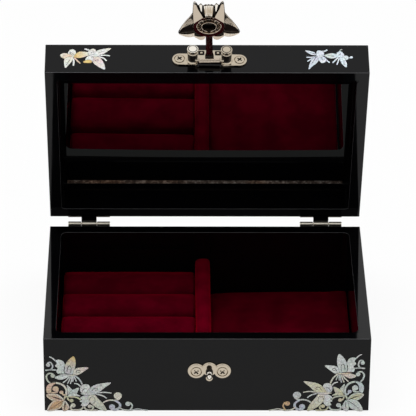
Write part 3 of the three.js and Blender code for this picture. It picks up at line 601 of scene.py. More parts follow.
def make_carcasses():
    finish(
        carcass(BODY_HEIGHT - FELT, BODY_HEIGHT - BASE_TOP, BODY_RIM, INNER_CORNER),
        "case_shell", "case", lacquer, shift(0, 0, BODY_HEIGHT),
        ["front_wall", "back_wall", "left_wall", "right_wall", "base_board"], "lacquer",
        others=[rim_highlight_lacquer],
    )
    height = LID_TOP - LID_BOTTOM
    finish(
        carcass(height, height - LID_PANEL, LID_RIM, LID_CORNER, LID_OVERHANG),
        "lid_shell", "lid", lacquer, LID @ shift(0, 0, LID_BOTTOM) @ turn(180, "X"),
        ["lid_front_wall", "lid_back_wall", "lid_left_wall", "lid_right_wall", "lid_top_panel"], "lacquer",
        others=[rim_highlight_lacquer],
    )


# Velvet: the room of each padded piece, in from the walls and up from the base
VELVET_Y = 58.1
VELVET_FOOT = BASE_TOP + 0.05
ROLL_LEFT, ROLL_RIGHT = -92.1, -6.4
ROLL_FOOT, ROLL_CREST = 8.5, 29.6
ROLL_HALF = 13.0
ROLL_INSET = 0.3
ROLL_SHOULDER = 0.3
ROLL_PITCH = 26.5
FIRST_ROLL = 44.75
DIVIDER_LEFT, DIVIDER_RIGHT, DIVIDER_TOP = -6.3, 3.1, 35.8
PAD_LEFT, PAD_RIGHT, PAD_TOP = 3.0, 92.1, 11.1


def swell(piece, low, high, cap, pressure, seed):
    """Blows the cover up a little with cloth, keeps each point within the cap and the room it has,
    and lays in the soft unevenness of hand wrapped velvet."""
    start = [v.co.copy() for v in piece.data.vertices]
    cloth = piece.modifiers.new("cover", "CLOTH").settings
    cloth.quality = 5
    cloth.mass = 0.2
    cloth.use_pressure = True
    cloth.uniform_pressure_force = pressure
    cloth.effector_weights.gravity = 0
    cloth.tension_stiffness = 30
    cloth.compression_stiffness = 30
    cloth.bending_stiffness = 0.5
    scene = bpy.context.scene
    for step in range(1, 21):
        scene.frame_set(step)
    applied(piece)
    scene.frame_set(1)
    for vertex, rest in zip(piece.data.vertices, start):
        move = vertex.co - rest
        if move.length > cap * MM:
            move = move.normalized() * cap * MM
        uneven = noise.noise(rest / (14 * MM) + Vector((seed, 0, 0))) * 0.22 * MM
        spot = rest + move + (move.normalized() if move.length > 1e-7 else Vector((0, 0, 1))) * uneven
        for axis in range(3):
            spot[axis] = min(max(spot[axis], low[axis] * MM), high[axis] * MM)
        vertex.co = spot


def padded_piece(bm, name, node, low, high, voxel, cap, pressure, seed, cover):
    """A padded cover: remeshed, swelled with cloth inside its room, and smoothed."""
    piece = finish(bm, name, "case", cover, None, [node], "velvet", 180)
    remesh = piece.modifiers.new("weave", "REMESH")
    remesh.mode = "VOXEL"
    remesh.voxel_size = voxel * MM
    remesh.use_smooth_shade = True
    applied(piece)
    swell(piece, low, high, cap, pressure, seed)
    smooth = piece.modifiers.new("smooth", "SUBSURF")
    smooth.levels = smooth.render_levels = 1


def shaped_cube(cuts, spot):
    """A finely cut cube, each point put where spot(x, y, up) says: x and y from -1 to 1, up from 0 to 1."""
    bm = bmesh.new()
    bmesh.ops.create_cube(bm, size=2)
    bmesh.ops.subdivide_edges(bm, edges=bm.edges, cuts=cuts, use_grid_fill=True)
    for vertex in bm.verts:
        vertex.co = spot(vertex.co.x, vertex.co.y, (vertex.co.z + 1) / 2)
    return bm


def roll_shape(y):
    """One ring roll: flat foot, sides that pull in, round crown, drawn in ends."""
    middle = (ROLL_LEFT + 1.0 + ROLL_RIGHT) / 2
    half_length = (ROLL_RIGHT - ROLL_LEFT - 1.0) / 2 - ROLL_INSET
    height = ROLL_CREST - ROLL_FOOT - ROLL_INSET - 0.6

    def spot(along, across, up):
        end = 1 - 0.012 * along**12
        crown = max(0, (up - ROLL_SHOULDER) / (1 - ROLL_SHOULDER))
        below = max(0, 1 - up / ROLL_SHOULDER)
        wide = across * (1 - 0.16 * crown**3) * (1 - 0.07 * below**2)
        tall = up if crown <= 0 else ROLL_SHOULDER + (1 - ROLL_SHOULDER) * crown * (1 - 0.2 * across**2)
        return (
            middle + along * half_length,
            y + wide * (ROLL_HALF - ROLL_INSET) * end,
            ROLL_FOOT + 0.1 + tall * height * (1 - (1 - end) * crown),
        )

    return shaped_cube(11, spot)


def floor_shape():
    """The right compartment's floor pad, which rises to the right and falls off at its edges."""

    def spot(x, y, up):
        share = (x + 1) / 2
        top = 3.2 + 1.9 * share**1.5 - 0.4 * max(abs(x), abs(y)) ** 14
        corner = 1 - 0.02 * (abs(x) * abs(y)) ** 10
        return PAD_LEFT + share * (PAD_RIGHT - PAD_LEFT), y * VELVET_Y * corner, VELVET_FOOT + up * top

    return shaped_cube(15, spot)


def make_velvet():
    for i in range(4):
        y = FIRST_ROLL - ROLL_PITCH * i
        padded_piece(
            roll_shape(y), f"ring_cushion_{i + 1}", f"ring_roll_{i + 1}",
            (ROLL_LEFT, y - ROLL_HALF, ROLL_FOOT + 0.05), (ROLL_RIGHT, y + ROLL_HALF, ROLL_CREST),
            1.8, 0.7, 4, i * 7.3, velvet,
        )
    # Divider: card wrapped in velvet, soft along its top
    bm = block(DIVIDER_LEFT + 0.1, DIVIDER_RIGHT - 0.1, -VELVET_Y, VELVET_Y, VELVET_FOOT, DIVIDER_TOP - 0.2)
    bevel(bm, [e for e in bm.edges if all(v.co.z > 20 for v in e.verts)], 2.6, 5)
    # The divider wears the lighter copy of the velvet: painted light
    padded_piece(
        bm, "velvet_divider", "divider",
        (DIVIDER_LEFT, -VELVET_Y, VELVET_FOOT), (DIVIDER_RIGHT, VELVET_Y, DIVIDER_TOP),
        1.5, 0.5, 4, 31, lit_velvet,
    )
    padded_piece(
        floor_shape(), "velvet_floor", "floor_pad",
        (PAD_LEFT, -VELVET_Y, VELVET_FOOT), (PAD_RIGHT, VELVET_Y, PAD_TOP),
        1.5, 0.4, 3, 47, velvet,
    )
    # Tray board under the rolls, velvet wrapped
    bm = block(ROLL_LEFT, ROLL_RIGHT, -VELVET_Y, VELVET_Y, VELVET_FOOT, ROLL_FOOT)
    bevel(bm, upright_edges(bm), INNER_CORNER, 5)
    bevel(bm, [e for e in bm.edges if all(v.co.z > ROLL_FOOT - 0.01 for v in e.verts)], 0.5, 3)
    board = finish(bm, "velvet_tray_board", "case", velvet, None, ["ring_tray_board"], "velvet")


# Mirror and its backing, in the shut lid's frame
PANE_HALF, PANE_DEPTH = 89.2, 111.8
PANE_Y = PANE_DEPTH / 2
MIRROR_FACE = 75.6
MIRROR_BOW = 0.45
MIRROR_YAW = 0.12
BAND_RISE = 0.75
# Black bands over the mirror's ends, painted shade in place of its dark reflections, run from the hinge side
# to MIRROR_BAND and from the front to MIRROR_TOP.
MIRROR_BAND, MIRROR_TOP = 34.0, -34.7
BOARD_BACK = 76.2
# The board's lip, from the mirror's edge to the lid's wall
LIP_START, LIP_END, LIP_FACE = 56.4, 58.15, 74.1


def eased_block(x0, x1, y0, y1, z0, z1, edge, angle=40):
    """A block with all its edges eased."""
    bm = block(x0, x1, y0, y1, z0, z1)
    bevel(bm, sharp_edges(bm, angle), edge, 2)
    return bm


def make_mirror():
    """Thin glass, silvered at its back and bowed by the glue under its middle, on a raw board
    whose turned up edge shows along the hinge side."""
    bm = bmesh.new()
    bmesh.ops.create_cube(bm, size=1)
    lengthwise = [e for e in bm.edges if abs(e.verts[0].co.x - e.verts[1].co.x) > 0.5]
    bmesh.ops.subdivide_edges(bm, edges=lengthwise, cuts=47)
    for vertex in bm.verts:
        across, y, z = 2 * vertex.co.x, vertex.co.y, vertex.co.z
        glass = MIRROR_FACE - MIRROR_BOW * (1 - across**2) if z < 0 else MIRROR_FACE + 0.15
        vertex.co = (across * PANE_HALF, y * PANE_DEPTH, glass)
    place = LID @ shift(0, 0, MIRROR_FACE) @ turn(MIRROR_YAW, "Y") @ shift(0, 0, -MIRROR_FACE)
    finish(bm, "mirror_pane", "lid", mirror_glass, place, ["mirror"], "mirror", 20)
    # Black lacquer bands over the pane's ends: painted shade standing in for dark reflections
    bands = bmesh.new()
    for y0, y1 in ((MIRROR_BAND, PANE_Y), (-PANE_Y - 0.3, MIRROR_TOP)):
        merge_in(bands, eased_block(-PANE_HALF, PANE_HALF, y0, y1, MIRROR_FACE - BAND_RISE, MIRROR_FACE, 0.1))
    finish(bands, "mirror_painted_shade_bands", "lid", lacquer, place, [], "lacquer")
    bm = block(-PANE_HALF, PANE_HALF, -PANE_Y, PANE_Y + 0.1, BOARD_BACK - 0.35, BOARD_BACK)
    merge_in(bm, eased_block(-PANE_HALF, PANE_HALF, LIP_START, LIP_END, LIP_FACE, BOARD_BACK, 0.15))
    finish(bm, "backing_board", "lid", raw_board, LID, ["mirror_backing"], "board")


# Mother of pearl
TINTS = {
    "white": "#cfd3d0", "frost": "#c5cfd8", "ivory": "#cfccbd", "mint": "#bcc6c0", "sea": "#b4c1c3",
    "grey": "#b9bebc", "sage": "#b9bfae", "lime": "#c0be9c", "gold": "#c9a862", "amber": "#c29a70",
    "peach": "#ccb096", "rose": "#c9b6ae", "lilac": "#b6bcc8",
}
CUT_TINT = "#000000"
INLAY_FOOT = -0.02
PEARL_STEP = 0.006
CUT_STEP = 0.003
CUT_WIDTH = 0.16
CORE_MARGIN = 1.0
STROKE_START, STROKE_END = 0.34, 0.2


def grown(outline, amount):
    """The outline pushed out by an amount, for the dark cut round each plate."""
    count = len(outline)
    area = sum(a.x * b.y - b.x * a.y for a, b in zip(outline, outline[1:] + outline[:1]))
    sign = 1 if area > 0 else -1
    pushed = []
    for i, point in enumerate(outline):
        tangent = outline[(i + 1) % count] - outline[i - 1]
        outward = Vector((tangent.y, -tangent.x)).normalized() * sign
        pushed.append(point + outward * amount)
    return pushed


def lay(bm, layer, outline, height, first, last):
    """Lays one thin plate, tinted from its first point to the point farthest from it."""
    start = outline[0]
    axis = max(outline, key=lambda p: (p - start).length) - start
    first, last = Vector(linear(first)), Vector(linear(last))
    low = []
    for point in outline:
        vertex = bm.verts.new((point.x, point.y, INLAY_FOOT))
        share = min(max((point - start).dot(axis) / axis.length_squared, 0), 1) ** 1.6
        vertex[layer] = first.lerp(last, share)
        low.append(vertex)
    bmesh.ops.translate(bm, vec=(0, 0, height - INLAY_FOOT), verts=pulled(bm, [bm.faces.new(low)]))


def ribbon_pairs(points, start_width, end_width, extra=0.0):
    """The left and right points of a ribbon along a curve, whose width changes from end to end."""
    path = smooth_path(points, 5)
    pairs = []
    for i, point in enumerate(path):
        share = i / (len(path) - 1)
        aside = left_of(path, i) * ((start_width + (end_width - start_width) * share) / 2 + extra)
        pairs.append((point + aside, point - aside))
    return pairs


def lay_ribbon(bm, layer, pairs, height, tint):
    """Lays a ribbon as a closed box that follows its pairs of points, so that a tight curl stays sound."""
    rows = []
    for a, b in pairs:
        row = [bm.verts.new((p.x, p.y, z)) for p in (a, b) for z in (INLAY_FOOT, height)]
        for vertex in row:
            vertex[layer] = linear(tint)
        rows.append(row)
    for (a0, a1, b0, b1), (c0, c1, d0, d1) in zip(rows, rows[1:]):
        for ring in ((a1, b1, d1, c1), (a0, c0, d0, b0), (a0, a1, c1, c0), (b0, d0, d1, b1)):
            bm.faces.new(ring)
    for a0, a1, b0, b1 in (rows[0], rows[-1]):
        bm.faces.new((a0, b0, b1, a1))


# Ribbon: widths at its ends, size of the ball at its far end, points, tint.
# Shell: outline from its foot; tints of its foot, its tip and, where it has one, its inner core.
# Where two tints or groups of tints are given, they are for the left and for the right of the box.
# Points are millimetres from the side edge and up from the bottom.
SPRAY_RIBBONS = [
    (0.9, 0.9, 1.3, [(1, 31), (4.3, 31.6), (5.5, 34), (4.3, 36.7), (2.5, 36.2),
     (2.7, 34.9)], "grey", "mint"),
    (0.8, 0.8, 0, [(3, 31.3), (5.6, 31.3), (8.1, 31.1)], "grey"),
    (0.9, 0.6, 0, [(7.3, 37.9), (5.3, 40), (3.5, 40.9)], "white"),
    (0.9, 0.7, 0, [(16.2, 27.4), (14.2, 24.2), (11.6, 21.7)], "white", "ivory"),
    (0.8, 0.6, 0, [(16.6, 27.4), (15.6, 23.8), (14.4, 21.2)], "white", "ivory"),
    (0.8, 0.6, 0, [(17, 27.4), (16.9, 23.8), (16.1, 21)], "white", "grey"),
    (0.8, 0.6, 0, [(17.5, 27.4), (17.8, 24.4), (17.6, 22.5)], "white", "grey"),
    (0.8, 0.6, 0, [(18, 27.4), (19.2, 24.6), (19.9, 22.8)], "white", "grey"),
    (1, 0.9, 0, [(18.6, 27.4), (21.8, 24.2), (23.7, 20)], "grey", "ivory"),
    (1, 1, 1.4, [(4.3, 21), (2.2, 23.4), (1.5, 26.6), (3, 28.6), (5.3, 28.4), (5.5, 26.9)], "sage", "mint"),
    (1.3, 1.2, 0, [(2.1, 15.1), (1.9, 18.3), (3.7, 20.8), (7, 21.7), (10.8, 20.6), (13, 18.1), (13.7, 15.1),
     (12.6, 11)], "ivory", "mint"),
    (1.1, 1.4, 1.9, [(2.6, 15.1), (5, 14.3), (7.6, 14.9), (8.2, 16.7), (7, 17.3)], "peach", "mint"),
    (0.9, 1, 1.25, [(13.2, 13.2), (11.8, 12.8), (10.6, 14.7)], "peach", "lilac"),
    (1, 1, 0, [(11.9, 8.7), (12.9, 11.3), (15.9, 11.5), (20.2, 10.8), (22.9, 8.5)], "lime", "sage"),
    (0.9, 1, 1.3, [(14.2, 10.9), (14.9, 9.1), (16.6, 8.6)], "lime"),
    (0.9, 0.7, 0, [(22.8, 18.6), (20.8, 20.8), (18.5, 21.4)], "white"),
    (0.9, 0.7, 0, [(31.6, 14), (36.7, 14.8), (41.3, 14.2)], "white", "ivory"),
    (0.9, 0.7, 0, [(31.6, 13.5), (35.7, 12.3), (38.4, 10.3)], "white"),
    (1.1, 1.2, 1.5, [(24.2, 4.6), (22.6, 2.2), (20, 1.6), (16.6, 2), (16.2, 4),
     (17.6, 5)], "ivory", "mint"),
    (1, 0.9, 0, [(24.2, 5), (25.2, 2.4), (27.5, 1.5), (32.7, 1.5)], "ivory", "lime"),
    (0.9, 1, 1.3, [(29.1, 1.7), (30.1, 3.4), (29, 4.7), (27.9, 4.3)], "ivory", "lime"),
    (0.9, 1, 0, [(34.4, 5.4), (37.4, 8), (40.7, 9), (43.9, 8.7)], "ivory", "grey"),
    (1, 1.3, 2.5, [(42.6, 8.7), (45.6, 9.6), (46.8, 11.6), (45.2, 12.2)], "ivory", "grey"),
    (1.3, 2, 1.9, [(43.4, 8.7), (46.3, 6.4), (46.2, 3.4), (43.6, 1.9), (41.4, 2.6), (41.6, 3.9)], "lilac"),
    (1, 0.7, 0, [(46, 3.6), (48.6, 1.9), (52.9, 1.5), (57.2, 2.4), (60.5, 1.9),
     (63.6, 1.4)], "grey", "ivory"),
    (0.9, 1, 1.6, [(52.6, 1.6), (54.1, 4.4), (53, 6.9), (51.4, 6.2)], "mint", "amber"),
]
SPRAY_SHELLS = [
    ([(13.2, 28.4), (9, 28.4), (7.7, 30.8), (8.6, 32.6), (7, 34.4), (8.1, 36.3), (7.2, 38.2), (9.6, 38.9),
     (12.2, 37.4), (13.2, 33.5)], "mint white", "white mint"),
    ([(15.8, 28.4), (12.6, 29.3), (12.5, 32.5), (14.2, 37.2), (18.1, 41.3), (19.5, 38.5), (19.3, 33.7),
     (17.7, 28.6)], "grey gold", "mint white"),
    ([(17.9, 27.6), (19.4, 32.2), (23.5, 33.3), (27.5, 33.1), (24.8, 30.5),
     (21.2, 27.9)], "ivory rose", "white white"),
    ([(16.6, 27.4), (14.2, 25.8), (10.9, 24.2), (7.6, 24.8), (6.7, 26), (9.3, 27.3),
     (14, 28)], "white mint", "rose ivory"),
    ([(2, 14), (1.3, 18), (3.4, 21.3), (7.2, 21.8), (5.2, 19.8), (4.4, 17.4),
     (4.2, 15)], "peach peach", "sea mint"),
    ([(14.6, 12.2), (14.5, 16), (14, 20.3), (15.8, 18.6), (17.2, 16)], "mint white", "sage mint"),
    ([(14.8, 12.4), (16.9, 16.2), (21.3, 18.3), (20.6, 15.4), (19, 13.2)], "mint mint", "lime sage"),
    ([(14.4, 12), (17.6, 14.4), (22.2, 12), (18, 12.2)], "mint white", "lime sage"),
    ([(12.3, 8.4), (9.6, 12.4), (5.8, 13.9), (1.2, 12.9), (3.4, 9.6),
     (7.2, 8.2)], "ivory peach peach", "sage ivory lime"),
    ([(12.2, 8.8), (6.4, 8.9), (3.2, 5.8), (1.6, 1.2), (6.2, 1.4),
     (10.2, 3.6)], "peach ivory amber", "mint white"),
    ([(12.4, 8.6), (10.8, 4.4), (11.4, 1.2), (13.3, 1.2), (15.2, 3.4),
     (14.2, 6.8)], "ivory peach peach", "mint white"),
    ([(24.4, 13.8), (22.2, 15.6), (22.4, 18.8), (24.2, 20.7), (27.2, 20.5), (28.3, 17.8),
     (27.3, 14.4)], "white white", "grey white"),
    ([(26.2, 13.4), (28, 17.8), (32.4, 20.8), (41, 22.1), (37.4, 18.6),
     (32.7, 14.5)], "grey white", "lime ivory"),
    ([(27.7, 13.4), (24.1, 12.4), (21.9, 10.6), (23.2, 9.6), (21.7, 8.2), (23.3, 7.2), (22.4, 5.4),
     (24.4, 4.4), (26.6, 5.4), (28.4, 9.4)], "grey white", "white white"),
    ([(28.2, 13.4), (27, 9.8), (29.3, 6), (33.6, 2.4), (38.2, 1.2), (36.3, 6.2), (32.9, 10.4),
     (31, 13.2)], "ivory sage", "ivory lime"),
    ([(22.3, 13.9), (27, 14.3), (33, 13.9), (27, 12.9)], "white white", "ivory white"),
    ([(9, 28.5), (14.2, 28.3), (19.9, 27.5), (14.2, 27.1)], "white ivory", "peach ivory"),
]
SPRAY_STROKES = [
    [(14.2, 30), (14.6, 33), (15.9, 34.3), (16.8, 32.8), (16.4, 29)],
    [(12.9, 33.5), (12.5, 31), (13, 28.9)],
    [(19.6, 29.2), (20.6, 31), (22.4, 30.9), (21.8, 29.8), (20.6, 29.6)],
    [(9, 28.5), (13, 28.3), (17, 28.1)],
    [(27.6, 8.8), (28.3, 11), (30.3, 11.4), (31.2, 9.2), (30.8, 7.2), (29.8, 7.4)],
    [(29.2, 15.8), (30.4, 17.6), (32.5, 17.9), (32.9, 16.7), (31.2, 16)],
    [(22.4, 13.2), (27, 12.8), (32, 13.2)],
    [(11.4, 8.2), (7.6, 5.6), (4, 2.6)],
    [(10.8, 9), (8, 10.8), (4.4, 11.6)],
    [(12.8, 7.4), (12.9, 5), (12.4, 2.8)],
    [(23.2, 15.4), (24.6, 17.4), (26.4, 17.6)],
]
LEFT_RIBBONS = [
    (1.1, 0.9, 0, [(17.2, 13.2), (17.6, 9.2), (17.4, 5.7)], "white"),
    (1, 0.8, 0, [(17.4, 13.6), (19.6, 10.4), (21.7, 7.9)], "peach"),
    (1.2, 1.1, 0, [(28.4, 18.4), (26.2, 19.5), (24.2, 20.3)], "white"),
    (1, 0.8, 0, [(32, 14.4), (37, 14.8), (40.5, 14.3)], "white"),
    (1.1, 0.9, 0, [(32, 14), (36.1, 12.5), (38.4, 10)], "white"),
]
LEFT_SHELLS = [
    ([(17.2, 12.9), (13.9, 15.6), (14.5, 18.6), (16.7, 19.9), (18.7, 18), (18.6, 14.8)], "ivory white"),
    ([(16.6, 13.3), (13, 16.3), (10.3, 16.2), (8.8, 14.4), (11.2, 11.8), (13.6, 12.3)], "peach ivory"),
    ([(16.9, 13), (14.5, 13.3), (11.8, 11.5), (11.5, 7.9), (12.4, 3.9), (15, 7.3),
     (16.7, 10.4)], "ivory white"),
    ([(17.6, 13.7), (20.2, 17.3), (23.3, 17.9), (27.6, 17), (27.4, 15), (23.3, 13),
     (20.2, 12.4)], "gold white"),
    ([(28.4, 14), (26.5, 16.2), (27.2, 18.7), (29.5, 20.4), (31.4, 19.2), (31.5, 16.6),
     (29.4, 14.4)], "white ivory"),
    ([(30.2, 14.6), (31.8, 18.2), (34.4, 19.7), (41, 20.8), (37.7, 17.1), (34.4, 15.1)], "white ivory"),
    ([(28.4, 13.2), (33.3, 13.2), (35.8, 9.9), (37.3, 5.6), (37.2, 2.6), (33.3, 4.9),
     (30, 8.2)], "rose white"),
    ([(29.2, 14.2), (26.6, 13.9), (24.9, 11.1), (26.2, 9.4), (29.6, 9.8)], "white white"),
    ([(29.2, 9.6), (26.6, 10.9), (23.4, 9), (25.2, 8.2), (28.2, 8.2)], "gold gold"),
    ([(26.6, 15.6), (30, 15.2), (34.6, 14.2), (30, 13.6)], "white white"),
]
LEFT_STROKES = [
    [(14.7, 16.9), (15.8, 15.6), (17, 14.6)],
    [(15.3, 17.6), (16.5, 16.3), (17.4, 15)],
    [(30.6, 10.8), (32, 9.8), (33.2, 10.6), (32.2, 11.6)],
    [(33, 16.6), (35, 17.6), (37, 18.4)],
    [(13, 6.4), (14.2, 9), (15.4, 11.4)],
    [(28.4, 16.6), (29.4, 17.8), (30.2, 17.2)],
]
RIGHT_RIBBONS = [
    (1, 0.8, 0, [(33, 14), (36.8, 13.5), (39.2, 13.6)], "frost"),
    (1.1, 0.8, 0, [(33.4, 13.4), (36.4, 11.6), (38.6, 9.7)], "frost"),
    (1.1, 0.9, 0, [(29, 19), (27.3, 19.3), (25.5, 20.4)], "frost"),
    (1, 0.8, 0, [(27.5, 12.2), (25.9, 10.2), (24.4, 8.6)], "frost"),
    (0.5, 0.4, 0, [(17.6, 19.1), (17.1, 20.5), (15.9, 20.6)], "grey"),
    (0.9, 0.8, 0.9, [(13.2, 13.5), (11.4, 13.1), (10.4, 13.6)], "frost"),
    (1, 0.8, 0, [(18.9, 13.4), (20.8, 10.8), (22.6, 8.4)], "frost"),
    (0.9, 0.7, 0, [(18.2, 12.8), (19.1, 9.3), (19.9, 6.6)], "frost"),
]
RIGHT_SHELLS = [
    ([(32.6, 15.4), (33.4, 17.4), (35.2, 18.8), (39.8, 19.8), (37.2, 16.9), (35, 15.8)], "frost frost"),
    ([(32.8, 14.6), (31.2, 12.2), (32.4, 8.6), (35.3, 5.5), (37.9, 2.4), (37.7, 5.2), (36.9, 8.4),
     (35.6, 11.8)], "lilac frost"),
    ([(32.4, 14.6), (32.6, 17.6), (31.9, 19.5), (30.2, 19.7), (28.2, 18.8), (27.8, 16.6),
     (29, 14.6)], "frost frost"),
    ([(31.4, 13.8), (28.8, 14), (26.7, 12.6), (26.6, 10.2), (28.4, 8.3), (30, 8.7),
     (31.2, 11)], "frost frost"),
    ([(27.8, 15.2), (25.2, 16.6), (22.5, 17.2), (19.7, 16.3), (18.8, 14.5), (20.9, 12.9), (23.6, 12.4),
     (25.9, 13.5)], "mint frost"),
    ([(17.4, 13.4), (19.9, 14.2), (19.7, 17.2), (18.6, 18.6), (17.5, 19.3), (15.4, 17.2),
     (15.2, 14.4)], "frost frost"),
    ([(15.9, 13.4), (14.8, 15), (12.8, 14.7), (12.2, 13.2), (12.8, 11.6), (14.8, 11.2)], "frost frost"),
    ([(17.8, 13.4), (15, 12.8), (14.2, 10.2), (13.5, 7.4), (13.9, 4.2), (15.6, 5.8),
     (17.2, 8.8)], "frost frost"),
    ([(33.8, 13.6), (30.6, 14.6), (27.2, 15.4), (30.6, 13.2)], "lilac frost"),
]
RIGHT_STROKES = [
    [(33.2, 13), (34.6, 10.4), (35.8, 7.8)],
    [(33.8, 16.4), (35.6, 17.6), (37.4, 18.2)],
    [(21.2, 14.6), (23.4, 14.9), (25.4, 15)],
    [(15.2, 10.6), (15.4, 8.4), (14.8, 6.4)],
    [(17.2, 17.2), (17.8, 16), (18.6, 15.4)],
    [(29.4, 13.2), (29.2, 11.4), (28.2, 10.4)],
]
SPRAY = (SPRAY_RIBBONS, SPRAY_SHELLS, SPRAY_STROKES)
PAIR_LEFT = (LEFT_RIBBONS, LEFT_SHELLS, LEFT_STROKES)
PAIR_RIGHT = (RIGHT_RIBBONS, RIGHT_SHELLS, RIGHT_STROKES)


def as_cut(point):
    return point


def cut_again(point):
    """The right hand spray, cut a little narrower and taller than the left."""
    across, up = point
    return (across + 2.2 * (1 - across / 34), up * 1.045 if up > 1.5 else up)


def drawn_in_left(point):
    """The left pair of butterflies, drawn in a little across."""
    across, up = point
    return (25.7 + 0.973 * (across - 25.7), up)


def drawn_in_right(point):
    """The right pair of butterflies, drawn in a little across and up."""
    across, up = point
    return (24.1 + 0.968 * (across - 24.1), 10.9 + 0.93 * (up - 10.9))


def inlay(design, side, name, body, place, replaces, fitted):
    """One inlaid design: tinted shell plates, the dark cut round each, and engraved strokes."""
    ribbons, shells, strokes = design
    pearls, cuts = bmesh.new(), bmesh.new()
    layer = pearls.verts.layers.float_color.new("tint")
    dark = cuts.verts.layers.float_color.new("tint")
    ours = 0 if side < 0 else -1

    def placed(points):
        spots = [fitted(p) for p in points]
        return [Vector((side * (BOX_WIDTH / 2 - across), up)) for across, up in spots]

    height = 0.02
    for start, end, ball, points, *tints in ribbons:
        path, tint = placed(points), TINTS[tints[ours]]
        lay_ribbon(cuts, dark, ribbon_pairs(path, start, end, CUT_WIDTH), height - CUT_STEP, CUT_TINT)
        lay_ribbon(pearls, layer, ribbon_pairs(path, start, end), height, tint)
        height += PEARL_STEP
        if ball:
            ring = [path[-1] + Vector(p) for p in arc(0, 0, ball, 0, 337.5, 15)]
            lay(pearls, layer, ring, height, tint, tint)
            height += PEARL_STEP
    for points, *tints in shells:
        outline = smooth_path(placed(points), 5, closed=True)
        first, last, *cores = (TINTS[word] for word in tints[ours].split())
        lay(cuts, dark, grown(outline, CUT_WIDTH), height - CUT_STEP, CUT_TINT, CUT_TINT)
        lay(pearls, layer, outline, height, first, last)
        height += PEARL_STEP
        for core in cores:
            lay(cuts, dark, grown(outline, -CORE_MARGIN), height - CUT_STEP, CUT_TINT, CUT_TINT)
            lay(pearls, layer, grown(outline, -CORE_MARGIN - CUT_WIDTH * 0.7), height, core, core)
            height += PEARL_STEP
    for points in strokes:
        lay_ribbon(cuts, dark, ribbon_pairs(placed(points), STROKE_START, STROKE_END), height, CUT_TINT)
    for bm, piece, coat, nodes, slot in (
        (pearls, name, pearl, replaces, "pearl"), (cuts, name + "_cut", lacquer, (), "lacquer"),
    ):
        split_wide_faces(bm)
        bmesh.ops.recalc_face_normals(bm, faces=bm.faces)
        moved(bm, TO_METRES @ place)
        dress(to_mesh(bm, piece), piece, body, coat, nodes, slot, 20)


def make_pearl():
    for word, side, pair, spray_fit, pair_fit in (
        ("left", -1, PAIR_LEFT, as_cut, drawn_in_left), ("right", 1, PAIR_RIGHT, cut_again, drawn_in_right),
    ):
        inlay(SPRAY, side, f"shell_spray_{word}", "case", BODY_FRONT, [f"pearl_spray_{word}"], spray_fit)
        inlay(
            pair, side, f"shell_butterflies_{word}", "lid", LID_FRONT, [f"pearl_butterflies_{word}"], pair_fit
        )


# Metalwork
SCREW_RADIUS, SEAT_RADIUS = 2.9, 3.1
CATCH_SCREW_X, CATCH_SCREW_Y = 8, 0.2
CLASP_SCREW_X = 18.5
POST_X, POST_Y = 10.4, -0.8
WINDOW_X, WINDOW_HALF = 5.15, 1.95
NAIL_X, NAIL_Y = 5.1, 5.6
# Turned pieces whose axis lies along the hinge or the clasp's pin
LYING = turn(90, "Y")


def cross_screw(dome):
    """A domed screw head about z = 0 with its cross cut in, painted shade in the dark metal inside it, and a
    short shank.
    """
    radius = SCREW_RADIUS
    head = turned(
        [
            (0, -5), (radius * 0.4, -5), (radius * 0.4, -0.9), (radius, -0.9), (radius, dome * 0.45),
            (radius * 0.95, dome * 0.72), (radius * 0.75, dome * 0.93), (radius * 0.4, dome), (0, dome),
        ],
        32,
    )
    arm, blade = radius * 0.6, radius * 0.17
    slots = [block(-x, x, -y, y, -0.6, dome * 2) for x, y in ((arm, blade), (blade, arm))]
    return carve(head, [mark(slot, 1) for slot in slots])


def sinks(floor, places):
    """Shallow round seats to be cut for screw heads."""
    rim = SEAT_RADIUS + 0.35
    profile = [(0, floor), (SEAT_RADIUS, floor), (rim, floor + 0.8), (rim, 4), (0, 4)]
    return [moved(turned(profile, 40), shift(x, y)) for x, y in places]


def lobe(radius, x, y):
    """A flat disc with a broadly rounded upper edge."""
    profile = [
        (0, 0), (radius, 0), (radius, 0.45), (radius - 0.1, 0.75), (radius - 0.32, 1.03),
        (radius - 0.62, 1.22), (radius - 0.95, 1.3), (0, 1.3),
    ]
    return moved(turned(profile, 56), shift(x, y))


